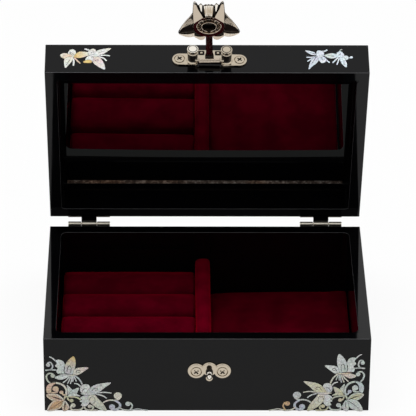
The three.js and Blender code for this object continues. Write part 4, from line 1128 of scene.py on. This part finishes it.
def make_catch():
    """Three lobed catch plate with sunk screws and the ball ended hook peg."""
    lobes = [lobe(5.4, 8, 0.35), lobe(4.9, 0, 1.7), lobe(2.3, 0, -5.0)]
    body = carve(lobe(5.4, -8, 0.35), lobes, "UNION")
    body = carve(body, sinks(0.5, [(-CATCH_SCREW_X, CATCH_SCREW_Y), (CATCH_SCREW_X, CATCH_SCREW_Y)]))
    place = BODY_FRONT @ shift(CLASP_X, CATCH_HEIGHT)
    finish(body, "catch_lobed_plate", "case", nickel, place, ["catch_plate"], "nickel")
    for i, (x, slant) in enumerate(((-CATCH_SCREW_X, 38), (CATCH_SCREW_X, 50))):
        finish(
            cross_screw(0.7), f"catch_cross_screw_{i + 1}", "case", nickel,
            place @ shift(x, CATCH_SCREW_Y, 1.0) @ turn(slant), [f"catch_screw_{i + 1}"], "nickel",
            others=[shaded_nickel],
        )
    hook = turned(
        [
            (0, 0.9), (2.3, 0.9), (2.3, 1.9), (1.7, 2.15), (2.05, 2.5), (2.05, 2.8), (1.5, 3.0), (1.75, 3.3),
            (1.9, 3.6), (1.85, 3.9), (1.6, 4.2), (1.0, 4.4), (1.0, 4.9), (1.45, 5.2), (1.7, 5.6), (1.82, 6.1),
            (1.78, 6.7), (1.58, 7.25), (1.2, 7.7), (0.65, 7.97), (0, 8.05),
        ],
        48,
    )
    # The peg is drawn in the dark metal, painted shade, and the ball's crest, turned up to the light, is a
    # painted highlight
    toward = Vector((0, 0.45, 0.89))
    mark(hook, 1)
    mark(hook, 2, lambda face: face.normal.dot(toward) > 0.8 and face.calc_center_median().z > 3)
    finish(hook, "catch_peg", "case", nickel, place, ["catch_hook"], "nickel", 60, [shaded_nickel, highlight_nickel])


def clasp_outline():
    """The long plate: round ends, cut back under the barrel, and a tab with round shoulders above."""
    half_width, half_height = 23.0, 4.7
    end = half_width - half_height
    return (
        arc(-end, 0, half_height, 90, 270, 24)
        + [(-8.6, -half_height)]
        + arc(-8.6, -3.3, 1.4, 270, 360, 5)
        + [(-7.2, -2.0), (7.2, -2.0)]
        + arc(8.6, -3.3, 1.4, 180, 270, 5)
        + [(8.6, -half_height)]
        + arc(end, 0, half_height, -90, 90, 24)
        + [(8.4, half_height)]
        + arc(6.6, 6.5, 1.4, 0, 90, 6)
        + arc(-6.6, 6.5, 1.4, 90, 180, 6)
        + [(-8.4, half_height)]
    )


def turned_post(side):
    """A clasp post with its waist and grooves in painted shade; the top of the left one is a painted
    highlight.
    """
    post = turned(
        [
            (0, 0.6), (3.7, 0.6), (3.7, 1.4), (3.45, 1.75), (3.0, 1.95), (2.85, 2.4), (3.1, 3.2), (3.25, 8.1),
            (2.9, 8.4), (2.9, 8.8), (3.4, 9.0), (3.4, 9.4), (3.0, 9.6), (3.0, 9.9), (3.4, 10.05),
            (3.5, 10.3), (3.5, 10.8), (3.3, 11.0), (2.95, 11.05), (2.8, 10.85), (2.55, 10.85), (2.4, 11.05),
            (1.2, 11.2), (0, 11.25),
        ],
        48,
    )

    # Flanks of the waist and the grooves: painted shade
    def black(face):
        middle = face.calc_center_median()
        groove = 2.4 < math.hypot(middle.x, middle.y) < 2.95 and middle.z > 10.8
        return groove or abs(face.normal.z) < 0.5 and (1.9 < middle.z < 8.9 or 9.6 < middle.z < 10.6)

    # Painted highlight on the left post's top
    if side < 0:
        mark(post, 2, lambda face: face.calc_center_median().z > 10.9)
    return mark(post, 1, black)


def make_clasp():
    """Long clasp plate with its tab, windows, nails, screws, posts and pin."""
    windows = [block(x - WINDOW_HALF, x + WINDOW_HALF, 3.4, 7.2, -1, 3) for x in (-WINDOW_X, WINDOW_X)]
    for window in windows:
        bevel(window, upright_edges(window), 0.7, 4)
    seats = sinks(0.55, [(-CLASP_SCREW_X, 0), (CLASP_SCREW_X, 0)])
    body = carve(plate(clasp_outline(), 0, 1.2, 0.3, 3), windows + seats)
    for x in (-NAIL_X, NAIL_X):
        nail = turned([(0, 0), (0.95, 0), (0.95, 0.9), (0.75, 1.3), (0.4, 1.5), (0, 1.55)], 20)
        merge_in(body, nail, shift(x, NAIL_Y))
    pivot = LID_FRONT @ shift(CLASP_X, PIVOT_RISE) @ turn(CLASP_SKEW)
    place = pivot @ shift(0, CLASP_RISE + CLASP_LIFT - PIVOT_RISE)
    finish(body, "clasp_long_plate", "lid", nickel, place, ["clasp_plate"], "nickel")
    for word, side, slant in (("left", -1, 40), ("right", 1, 52)):
        finish(
            cross_screw(0.75), f"clasp_cross_screw_{word}", "lid", nickel,
            place @ shift(side * CLASP_SCREW_X, 0, 1.0) @ turn(slant), [f"clasp_screw_{word}"], "nickel",
            others=[shaded_nickel],
        )
        finish(
            turned_post(side), f"clasp_turned_post_{word}", "lid", nickel,
            place @ shift(side * POST_X, POST_Y), [f"clasp_post_{word}"], "nickel", 28,
            [shaded_waist, highlight_nickel],
        )
    pin = turned([(0, -8.8), (0.8, -8.8), (0.8, 8.8), (0, 8.8)], 20)
    finish(
        pin, "clasp_cross_pin", "lid", nickel, pivot @ shift(0, 0, PIVOT_STAND) @ LYING,
        ["clasp_pin"], "nickel",
    )


def sheet(rows, base):
    """A closed solid whose upper side is a net of points and whose underside is flat."""
    bm = bmesh.new()
    net = [[bm.verts.new(p) for p in row] for row in rows]
    faces = [
        bm.faces.new((one[i], one[i + 1], two[i + 1], two[i]))
        for one, two in zip(net, net[1:])
        for i in range(len(one) - 1)
    ]
    for vertex in pulled(bm, faces, use_keep_orig=True):
        vertex.co.z = base
    face_outward(bm)
    return bm


def ridge(points, width, height, taper=1.0):
    """A rounded ridge that follows a smooth path on z = 0, narrower and lower towards its far end."""
    path = smooth_path(points)
    rows = []
    for i, point in enumerate(path):
        aside = left_of(path, i)
        size = 1 + (taper - 1) * i / (len(path) - 1)
        row = []
        for across, up in ((-1, 0), (-0.8, 0.55), (-0.35, 1), (0.35, 1), (0.8, 0.55), (1, 0)):
            spot = point + aside * across * width * size / 2
            row.append((spot.x, spot.y, up * height * size))
        rows.append(row)
    return sheet(rows, -0.3)


def band(one, other, across=4, along=6, bulge=0.0, ripple=0.0, waves=(0, 0)):
    """Rows of points from one spatial line to another, bulging up between them,
    with saw toothed ripples along and across."""
    rows = []
    lines = list(zip(smooth_path(one, along), smooth_path(other, along)))
    for i, (a, b) in enumerate(lines):
        reach = ripple * (b - a).length / 8
        row = []
        for j in range(across + 1):
            share = j / across
            point = a.lerp(b, share)
            phase = (i / (len(lines) - 1) * waves[0] + share * waves[1]) % 1
            saw = 1 - phase / 0.65 if phase < 0.65 else (phase - 0.65) / 0.35
            point.z += bulge * math.sin(math.pi * share)
            point.z += reach * (saw - 0.5) * min(1, 6 * min(j, across - j) / across)
            row.append(point)
        rows.append(row)
    return rows


# The hollow back of the ornament, seen with the eye at zero: outline of the right half (x, y past the eye)
CAST_OUTLINE = [
    (0, 16.7), (0.9, 16.2), (1.8, 16.7), (2.8, 16.0), (3.4, 15.5), (4.0, 16.6), (4.7, 17.6), (5.5, 16.6),
    (6.3, 15.9), (7.2, 17.9), (8.0, 19.0), (8.8, 19.2), (9.3, 17.9), (9.6, 13.4), (9.8, 9.6), (10.1, 8.9),
    (11.5, 6.6), (14.0, 3.0), (16.5, -1.3), (18.5, -5.6), (18.9, -7.2), (17.8, -8.1), (15.6, -9.2),
    (13.5, -9.8), (11.5, -9.9), (9.2, -9.4), (8.3, -10.6), (6.9, -12.4), (4.9, -13.4), (3.0, -12.8),
    (2.2, -11.2),
]
CAST_FRONT = -1.8
CAST_SKIN = -1.1
CAST_NET_FOOT = CAST_SKIN - 0.1
HOLE_RADIUS = 4.2
OVAL = shift(0, -1.0) @ Matrix.Diagonal((1, 0.85, 1, 1))
# Lines across the right wing, from its outer edge to its lower edge
WING_EDGE = [(9.7, 9.2, -0.4), (11.5, 6.4, -0.4), (14.0, 2.8, -0.4), (16.4, -1.5, -0.4), (18.4, -6.0, -0.3)]
WING_CREST = [(9.2, 1.3, 0.6), (11.0, 0.9, 0.6), (13.4, 0.1, 0.6), (16.3, -1.8, 0.6), (18.6, -6.3, 0.2)]
WING_TROUGH = [
    (9.2, -6.7, -1.0), (11.0, -7.4, -1.05), (13.2, -7.7, -1.05), (16.0, -7.7, -0.8), (18.5, -7.2, -0.1)
]
WING_STEP = [
    (9.0, -6.9, -0.15), (11.2, -7.6, -0.1), (13.3, -7.9, -0.1), (15.8, -7.8, 0.0), (18.3, -7.2, 0.0)
]
WING_LIP = [(9.0, -9.2, 0.55), (11.4, -9.7, 0.6), (13.4, -9.6, 0.55), (15.6, -9.0, 0.4), (18.4, -7.5, 0.1)]
# Feather faces whose slope falls below this share of upright are drawn black: painted shade
FEATHER_SLOPE = 0.36
# Lines of the horn, its tip and the leaf beside it, both painted highlights, and the two scallops by the stem
HORN_CREST = [(7.55, 16.9, -0.3), (6.4, 13.6, 0.35), (4.9, 10.7, 1.0), (3.6, 7.9, 1.6)]
HORN_OUTER = [(9.05, 17.5, -0.6), (9.35, 13.4, -0.25), (9.4, 8.3, 0.35), (9.2, 2.4, 0.95)]
HORN_INNER = [(6.5, 15.6, -0.9), (5.3, 12.3, -0.9), (4.1, 9.1, -0.9), (2.9, 6.2, -0.9)]
TIP_LOW = [(7.6, 17.9, 0.0), (8.3, 17.7, 0.1), (9.0, 17.6, 0.0)]
TIP_HIGH = [(7.8, 18.8, -0.5), (8.4, 18.9, -0.5), (8.9, 18.7, -0.5)]
LEAF_LOW = [(4.15, 12.4, 0.6), (4.4, 12.3, 0.75), (4.65, 12.4, 0.6)]
LEAF_HIGH = [(3.95, 16.2, -0.5), (4.75, 16.9, -0.3), (5.6, 16.2, -0.5)]
SCALLOP_START = [(9.2, -9.2, -0.2), (6.6, -10.3, -0.3), (4.2, -10.3, -0.3), (2.3, -9.8, -0.3)]
SCALLOP_STEP = [(8.8, -10.2, 0.15), (6.6, -11.7, 0.2), (4.4, -11.9, 0.2), (2.3, -10.9, 0.1)]
LOWER_START = [(8.6, -10.2, -0.7), (6.6, -11.7, -0.7), (4.4, -11.9, -0.7), (2.3, -10.9, -0.7)]
LOWER_STEP = [(8.2, -10.8, -0.45), (6.8, -12.4, -0.4), (4.9, -13.3, -0.35), (2.9, -12.6, -0.4)]
SCROLLS = [
    [(4.9, 2.6), (5.9, 3.6), (6.8, 2.8), (6.4, 1.6), (5.5, 1.6)],
    [(5.3, -0.9), (6.5, -0.6), (6.8, -1.9), (5.9, -2.6), (5.2, -2.0)],
    [(0.4, -5.0), (1.8, -5.6), (3.4, -5.9), (4.3, -4.9), (3.9, -4.2)],
    [(3.2, 5.0), (4.0, 5.9), (2.6, 6.5), (1.6, 5.6)],
]
FAN_TOP = [(-2.9, 15.6, -0.6), (-1.4, 15.9, -0.6), (0, 16.0, -0.6), (1.4, 15.9, -0.6), (2.9, 15.6, -0.6)]
FAN_FOOT = [(-2.1, 8.2, 0.9), (-1.1, 8.5, 0.9), (0, 8.6, 0.9), (1.1, 8.5, 0.9), (2.1, 8.2, 0.9)]


def paint_ground_shade(bm, low, high):
    """Marks the flat ground of the casting, between two heights, for painted shade."""
    return mark(bm, 1, lambda face: face.normal.z > 0.9 and low < face.calc_center_median().z < high)


def cast_skin():
    """The casting's front, thinner towards the top and the wing tips, its ground in painted shade
    and the dome over its eye, in painted shade inside."""
    left = [(-x, y) for x, y in CAST_OUTLINE[1:]][::-1]
    skin = plate(CAST_OUTLINE + left, CAST_FRONT, CAST_SKIN)
    for vertex in skin.verts:
        if vertex.co.z < (CAST_FRONT + CAST_SKIN) / 2:
            thin_top = 0.55 * min(max((vertex.co.y - 5) / 10, 0), 1)
            thin_tips = 0.65 * min(max((abs(vertex.co.x) - 9.5) / 2, 0), 1)
            vertex.co.z += max(thin_top, thin_tips)
    hole = turned([(0, -4), (HOLE_RADIUS, -4), (HOLE_RADIUS, 4), (0, 4)], 48)
    body = paint_ground_shade(carve(skin, [moved(hole, OVAL)]), CAST_SKIN - 0.1, CAST_SKIN + 0.1)
    dome = turned(
        [
            (0, -5.15), (1.4, -5.1), (2.8, -4.75), (3.8, -4.0), (HOLE_RADIUS, -3.0), (4.25, -1.2),
            (4.9, -1.2), (4.9, -3.0), (4.5, -4.2), (3.4, -5.1), (1.9, -5.6), (0, -5.75),
        ],
        48,
    )
    # The dome's inner and inward faces are painted shade
    mark(dome, 1, lambda face: face.normal.z > 0 or face.normal.xy.dot(face.calc_center_median().xy) < 0)
    return merge_in(body, dome, OVAL)


def cast_ring():
    """The oval ring: thin rim, channel in painted reflection of the red velvet, inner line,
    scrolled floor in painted shade and the bead round the hole."""
    floor = -0.25
    ring = turned(
        [
            (HOLE_RADIUS, -1.3), (HOLE_RADIUS, 0.4), (4.3, 0.8), (4.5, 0.95), (4.75, 0.9), (4.95, 0.5),
            (5.0, floor), (6.8, floor), (6.85, 0.15), (7.05, 0.45), (7.3, 0.52), (7.55, 0.4), (7.7, 0.12),
            (9.15, 0.12), (9.2, 0.5), (9.4, 0.8), (9.65, 0.8), (9.85, 0.5), (9.9, -1.3), (HOLE_RADIUS, -1.3),
        ],
        72,
    )
    paint_ground_shade(ring, floor - 0.05, floor + 0.05)

    # The channel takes the wine red nickel: painted reflection of the velvet
    def channel(face):
        middle = face.calc_center_median()
        return 7.6 < math.hypot(middle.x, middle.y) < 9.3 and middle.z > 0

    mark(ring, 3, channel)
    for side in (-1, 1):
        for points in SCROLLS:
            scroll = ridge([Vector((side * x, y)) for x, y in points], 0.8, 0.95, 0.8)
            merge_in(ring, scroll, shift(0, 0, floor))
    return ring


def cast_side(body, side):
    """Wing, horn and scallops on one side: faces in painted shade are 1 and painted highlights 2."""

    def add(rows, index=0, chosen=lambda face: True):
        rows = [[(side * x, y, z) for x, y, z in row] for row in rows]
        merge_in(body, mark(sheet(rows, CAST_NET_FOOT), index, chosen))

    # Feathers turned from the light and the whole trough are painted shade; the step's upright flutes are
    # painted highlights
    add(band(WING_CREST, WING_EDGE, 32, 8, 0.0, 0.4, (4, 5)), 1, lambda face: face.normal.y < FEATHER_SLOPE)
    add(band(WING_CREST, WING_TROUGH, 6, 4, 0.1), 1)
    add(band(WING_STEP, WING_LIP, 5, 10, 0.0, 0.5, (8, 1)), 2, lambda face: abs(face.normal.x) < 0.04)
    # Horn: a light outer face and a steep inner one in painted shade that meet in a crest; its tip and leaf
    # are painted highlights
    add(band(HORN_CREST, HORN_OUTER, 3, 5))
    add(band(HORN_CREST, HORN_INNER, 2, 5), 1)
    add(band(TIP_LOW, TIP_HIGH, 2, 3), 2)
    add(band(LEAF_LOW, LEAF_HIGH, 4, 3), 2)
    # Two scallops beside the stem, each a light ramp that ends in a dark step
    add(band(SCALLOP_START, SCALLOP_STEP, 2, 5))
    add(band(LOWER_START, LOWER_STEP, 2, 5))


def make_ornament():
    """Hollow cast butterfly, seen from the back: oval ring, horns, fluted fan and feathered wings."""
    body = merge_in(cast_skin(), cast_ring(), OVAL)
    for side in (-1, 1):
        cast_side(body, side)
    # Fan of flutes, falling away upwards, those facing one side painted highlights, and the collar with its
    # slot below it
    fan = sheet(band(FAN_FOOT, FAN_TOP, 5, 15, 0.0, 0.65, (5, 0)), CAST_NET_FOOT)
    merge_in(body, mark(fan, 2, lambda face: face.normal.x > 0.1))
    merge_in(body, turned([(0, -1), (0.75, -1), (0.75, 0.9), (0.4, 1.2), (0, 1.25)], 16), shift(0, 9.0))
    for points, width, height in (
        (((-2.9, 6.4), (-1.8, 7.7), (1.8, 7.7), (2.9, 6.4)), 0.9, 2.3),
        (((-2.0, 6.0), (2.0, 6.0)), 0.6, 2.1),
    ):
        merge_in(body, ridge([Vector(p) for p in points], width, height), shift(0, 0, CAST_SKIN))
    finish(
        body, "hasp_cast_butterfly", "hasp", cast_nickel, HASP @ shift(0, EYE_REACH), ["hasp_ornament"],
        "nickel", 32, [shaded_nickel, highlight_nickel, velvet_reflection_nickel],
    )


def make_arm():
    """The hasp's arm: rolled barrel and a flat stem, off its back, that widens a little at its foot."""
    end, black_to = EYE_REACH - 9.0, 3.4
    half = [(2.7, 0), (2.7, 3.2), (2.1, 5.6), (2.1, end)]
    outline = [(-x, y) for x, y in half] + half[::-1]
    body = plate(outline, -1.8, -0.7)
    bevel(body, sharp_edges(body, 60), 0.12, 2)
    bmesh.ops.bisect_plane(
        body, geom=body.verts[:] + body.edges[:] + body.faces[:],
        plane_co=(0, black_to, 0), plane_no=(0, 1, 0),
    )
    # The stem is the darker nickel, painted shade; its foot below black_to, beside the barrel, is the dark
    # metal, painted shade
    mark(body, 3)
    mark(body, 1, lambda face: face.calc_center_median().y < black_to)
    barrel = turned(
        [(0.95, -6.6), (1.5, -6.6), (1.75, -6.35), (1.75, 6.35), (1.5, 6.6), (0.95, 6.6), (0.95, -6.6)], 36
    )
    merge_in(body, mark(barrel, 2), LYING)
    finish(
        body, "hasp_flat_arm", "hasp", cast_nickel, HASP, ["hasp_arm"], "nickel",
        others=[shaded_nickel, rolled_nickel, shaded_stem_nickel],
    )


# Hinges, drawn with the lid shut
HINGE_X, HINGE_HALF, KNUCKLE_HALF = 75, 13.5, 4.9
KNUCKLE = 1.45
KNUCKLE_BORE = 0.75
KNUCKLE_GAP = 0.3
LEAF = 0.9
# Share of the knuckle's radius above which its crown is painted shade
CROWN = 0.88


def leaf_part(x0, x1, y0, y1, z0, z1, index):
    return mark(eased_block(x0, x1, y0, y1, z0, z1, 0.12, 60), index)


def rolled_part(x0, x1):
    """A rolled knuckle between two stations along the hinge line, its ends eased.
    Its crown, turned from the light by the lid, is drawn in black lacquer, painted shade; the rest takes the
    lighter knuckle nickel, painted light."""
    r, bore = KNUCKLE, KNUCKLE_BORE
    section = [(bore, x0), (r - 0.2, x0), (r, x0 + 0.2), (r, x1 - 0.2), (r - 0.2, x1), (bore, x1), (bore, x0)]
    part = moved(turned(section, 32), shift(0, HINGE_Y, HINGE_Z) @ LYING)
    return mark(mark(part, 2), 1, lambda face: face.calc_center_median().z > HINGE_Z + CROWN * r)


def make_hinges():
    # Painted shade on the hinges: leaf shelves, arms and knuckle crowns are drawn in black lacquer
    others = [lacquer, lit_knuckle_nickel]
    back, shelf, arm = BOX_DEPTH / 2, HINGE_Z - KNUCKLE + LEAF, HINGE_Z + KNUCKLE
    face = back + LID_OVERHANG
    for word, centre in (("left", -HINGE_X), ("right", HINGE_X)):
        x0, x1 = centre - HINGE_HALF, centre + HINGE_HALF
        k0, k1 = centre - KNUCKLE_HALF, centre + KNUCKLE_HALF
        g0, g1 = k0 - KNUCKLE_GAP, k1 + KNUCKLE_GAP
        lower = leaf_part(x0, x1, back, back + LEAF, shelf - 13.45, shelf, 0)
        merge_in(lower, leaf_part(x0, g0, back, HINGE_Y, shelf - LEAF, shelf, 1))
        merge_in(lower, leaf_part(g1, x1, back, HINGE_Y, shelf - LEAF, shelf, 1))
        merge_in(lower, leaf_part(g0, g1, back, HINGE_Y + 1, shelf - LEAF - 0.6, shelf - LEAF - 0.2, 1))
        merge_in(lower, rolled_part(x0, g0))
        merge_in(lower, rolled_part(g1, x1))
        finish(
            lower, f"lower_leaf_{word}", "case", nickel, None, [f"body_hinge_leaf_{word}"], "nickel",
            others=others,
        )
        upper = leaf_part(x0, x1, face, face + LEAF, LID_BOTTOM + 0.2, LID_BOTTOM + 14, 0)
        merge_in(upper, leaf_part(k0, k1, face, face + LEAF, arm - LEAF, LID_BOTTOM + 1, 1))
        merge_in(upper, leaf_part(k0, k1, face, HINGE_Y, arm - LEAF, arm, 1))
        merge_in(upper, rolled_part(k0, k1))
        finish(
            upper, f"upper_leaf_{word}", "lid", nickel, LID, [f"lid_hinge_leaf_{word}"], "nickel",
            others=others,
        )
        eased_copy(f"hinge_pin_{word}", f"knuckle_pin_{word}", "case", 0.12)
    outward = LID @ shift(0, LID_OVERHANG) @ LID.inverted()
    for i in range(1, 5):
        eased_copy(f"body_hinge_screw_{i}", f"body_leaf_screw_{i}", "case", 0.08)
        eased_copy(f"lid_hinge_screw_{i}", f"lid_leaf_screw_{i}", "lid", 0.08, outward)


# Floor, light and camera, in metres
FLOOR_HALF = 6
DARK_CARDS = [
    ("dark_table_edge", (0, -0.95, 0.085), (1.6, 0.075)),
    ("dark_camera_side", (0, -0.95, 0.66), (0.3, 0.2)),
]
WORLD_LIGHT = 0.4
LAMPS = [
    ("top_softbox", (0.0, 0.15, 1.5), (0, 0, 0.05), (1.2, 0.7), 18),
    ("left_softbox", (-1.3, -0.9, 0.9), (0, 0, 0.1), (0.6, 0.9), 4),
    ("right_softbox", (1.3, -0.9, 0.9), (0, 0, 0.1), (0.6, 0.9), 4),
]
CAMERA_PLACE = (-0.02569, -1.62611, 1.08186)
CAMERA_YAW = math.radians(0.93)
CAMERA_PITCH = math.radians(30.93)
CAMERA_ROLL = math.radians(0.54)
CAMERA_LENS = 265.37


def seen_clear(owner):
    """One where a ray comes from the camera, a polished face or clear glass, zero elsewhere."""
    path = add_node(owner, "ShaderNodeLightPath")
    seen = add_node(
        owner, "ShaderNodeMath",
        {0: path.outputs["Is Camera Ray"], 1: path.outputs["Is Glossy Ray"]}, operation="MAXIMUM",
    )
    clear = add_node(
        owner, "ShaderNodeMath",
        {0: seen.outputs[0], 1: path.outputs["Is Transmission Ray"]}, operation="MAXIMUM",
    )
    return clear.outputs[0]


def studio_sheet(name, material, place, hidden_from=()):
    """A flat sheet of the studio, left out of some kinds of rays."""
    bm = bmesh.new()
    bmesh.ops.create_grid(bm, x_segments=1, y_segments=1, size=1)
    made = add_object(name, to_mesh(moved(bm, place), name))
    made.data.materials.append(material)
    for kind in hidden_from:
        setattr(made, f"visible_{kind}", False)


def make_stage():
    """Pale floor, the unlit parts of the studio and plain soft light, as on a studio table."""
    white = empty_material("white_studio_paper")
    paper = add_node(white, "ShaderNodeBsdfDiffuse", {"Color": linear("#e8e8e8")})
    glow = add_node(white, "ShaderNodeEmission", {"Color": (1, 1, 1, 1), "Strength": 1.0})
    share = add_node(white, "ShaderNodeMath", {0: seen_clear(white), 1: 0.9}, operation="MULTIPLY")
    mix = add_node(
        white, "ShaderNodeMixShader", {"Fac": share.outputs[0], 1: paper.outputs[0], 2: glow.outputs[0]}
    )
    add_node(white, "ShaderNodeOutputMaterial", {"Surface": mix.outputs[0]})
    studio_sheet("studio_floor", white, Matrix.Diagonal((FLOOR_HALF, FLOOR_HALF, 1, 1)))
    # Dark cards round the camera and low in front, seen only in polished surfaces
    black = empty_material("black_studio_cloth")
    cloth = add_node(black, "ShaderNodeBsdfDiffuse", {"Color": linear("#0a0a0a")})
    add_node(black, "ShaderNodeOutputMaterial", {"Surface": cloth.outputs[0]})
    for name, middle, half in DARK_CARDS:
        place = shift(*middle) @ UPRIGHT @ Matrix.Diagonal((*half, 1, 1))
        studio_sheet(name, black, place, ("camera", "diffuse", "shadow"))
    world = bpy.data.worlds.new("studio")
    bpy.context.scene.world = world
    world.use_nodes = True
    world.node_tree.nodes.clear()
    strength = add_node(
        world, "ShaderNodeMapRange", {"Value": seen_clear(world), "To Min": WORLD_LIGHT, "To Max": 1.0}
    )
    back = add_node(world, "ShaderNodeBackground", {"Color": (1, 1, 1, 1), "Strength": strength.outputs[0]})
    add_node(world, "ShaderNodeOutputWorld", {"Surface": back.outputs[0]})
    for name, spot, target, size, power in LAMPS:
        lamp = bpy.data.lights.new(name, "AREA")
        lamp.shape = "RECTANGLE"
        lamp.size, lamp.size_y = size
        lamp.energy = power
        holder = add_object(name, lamp)
        holder.location = spot
        holder.rotation_euler = (Vector(target) - Vector(spot)).to_track_quat("-Z", "Y").to_euler()
        holder.visible_glossy = False


def make_camera():
    camera = bpy.data.cameras.new("camera")
    camera.sensor_width = 36
    camera.sensor_fit = "HORIZONTAL"
    camera.lens = CAMERA_LENS
    camera.clip_start = 0.05
    camera.clip_end = 50
    holder = add_object("camera", camera)
    level = math.cos(CAMERA_PITCH)
    forward = Vector((math.sin(CAMERA_YAW) * level, math.cos(CAMERA_YAW) * level, -math.sin(CAMERA_PITCH)))
    right = Vector((math.cos(CAMERA_YAW), -math.sin(CAMERA_YAW), 0))
    up = right.cross(forward)
    rolled_right = right * math.cos(CAMERA_ROLL) + up * math.sin(CAMERA_ROLL)
    rolled_up = up * math.cos(CAMERA_ROLL) - right * math.sin(CAMERA_ROLL)
    axes = Matrix((rolled_right, rolled_up, -forward)).transposed()
    holder.matrix_world = shift(*CAMERA_PLACE) @ axes.to_4x4()
    bpy.context.scene.camera = holder


make_camera()
make_stage()
make_carcasses()
make_velvet()
make_mirror()
make_pearl()
make_catch()
make_clasp()
make_ornament()
make_arm()
make_hinges()

felt_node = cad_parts["base_felt"]
felt_node.data.materials.clear()
felt_node.data.materials.append(felt)

bpy.context.scene.view_settings.view_transform = "Standard"
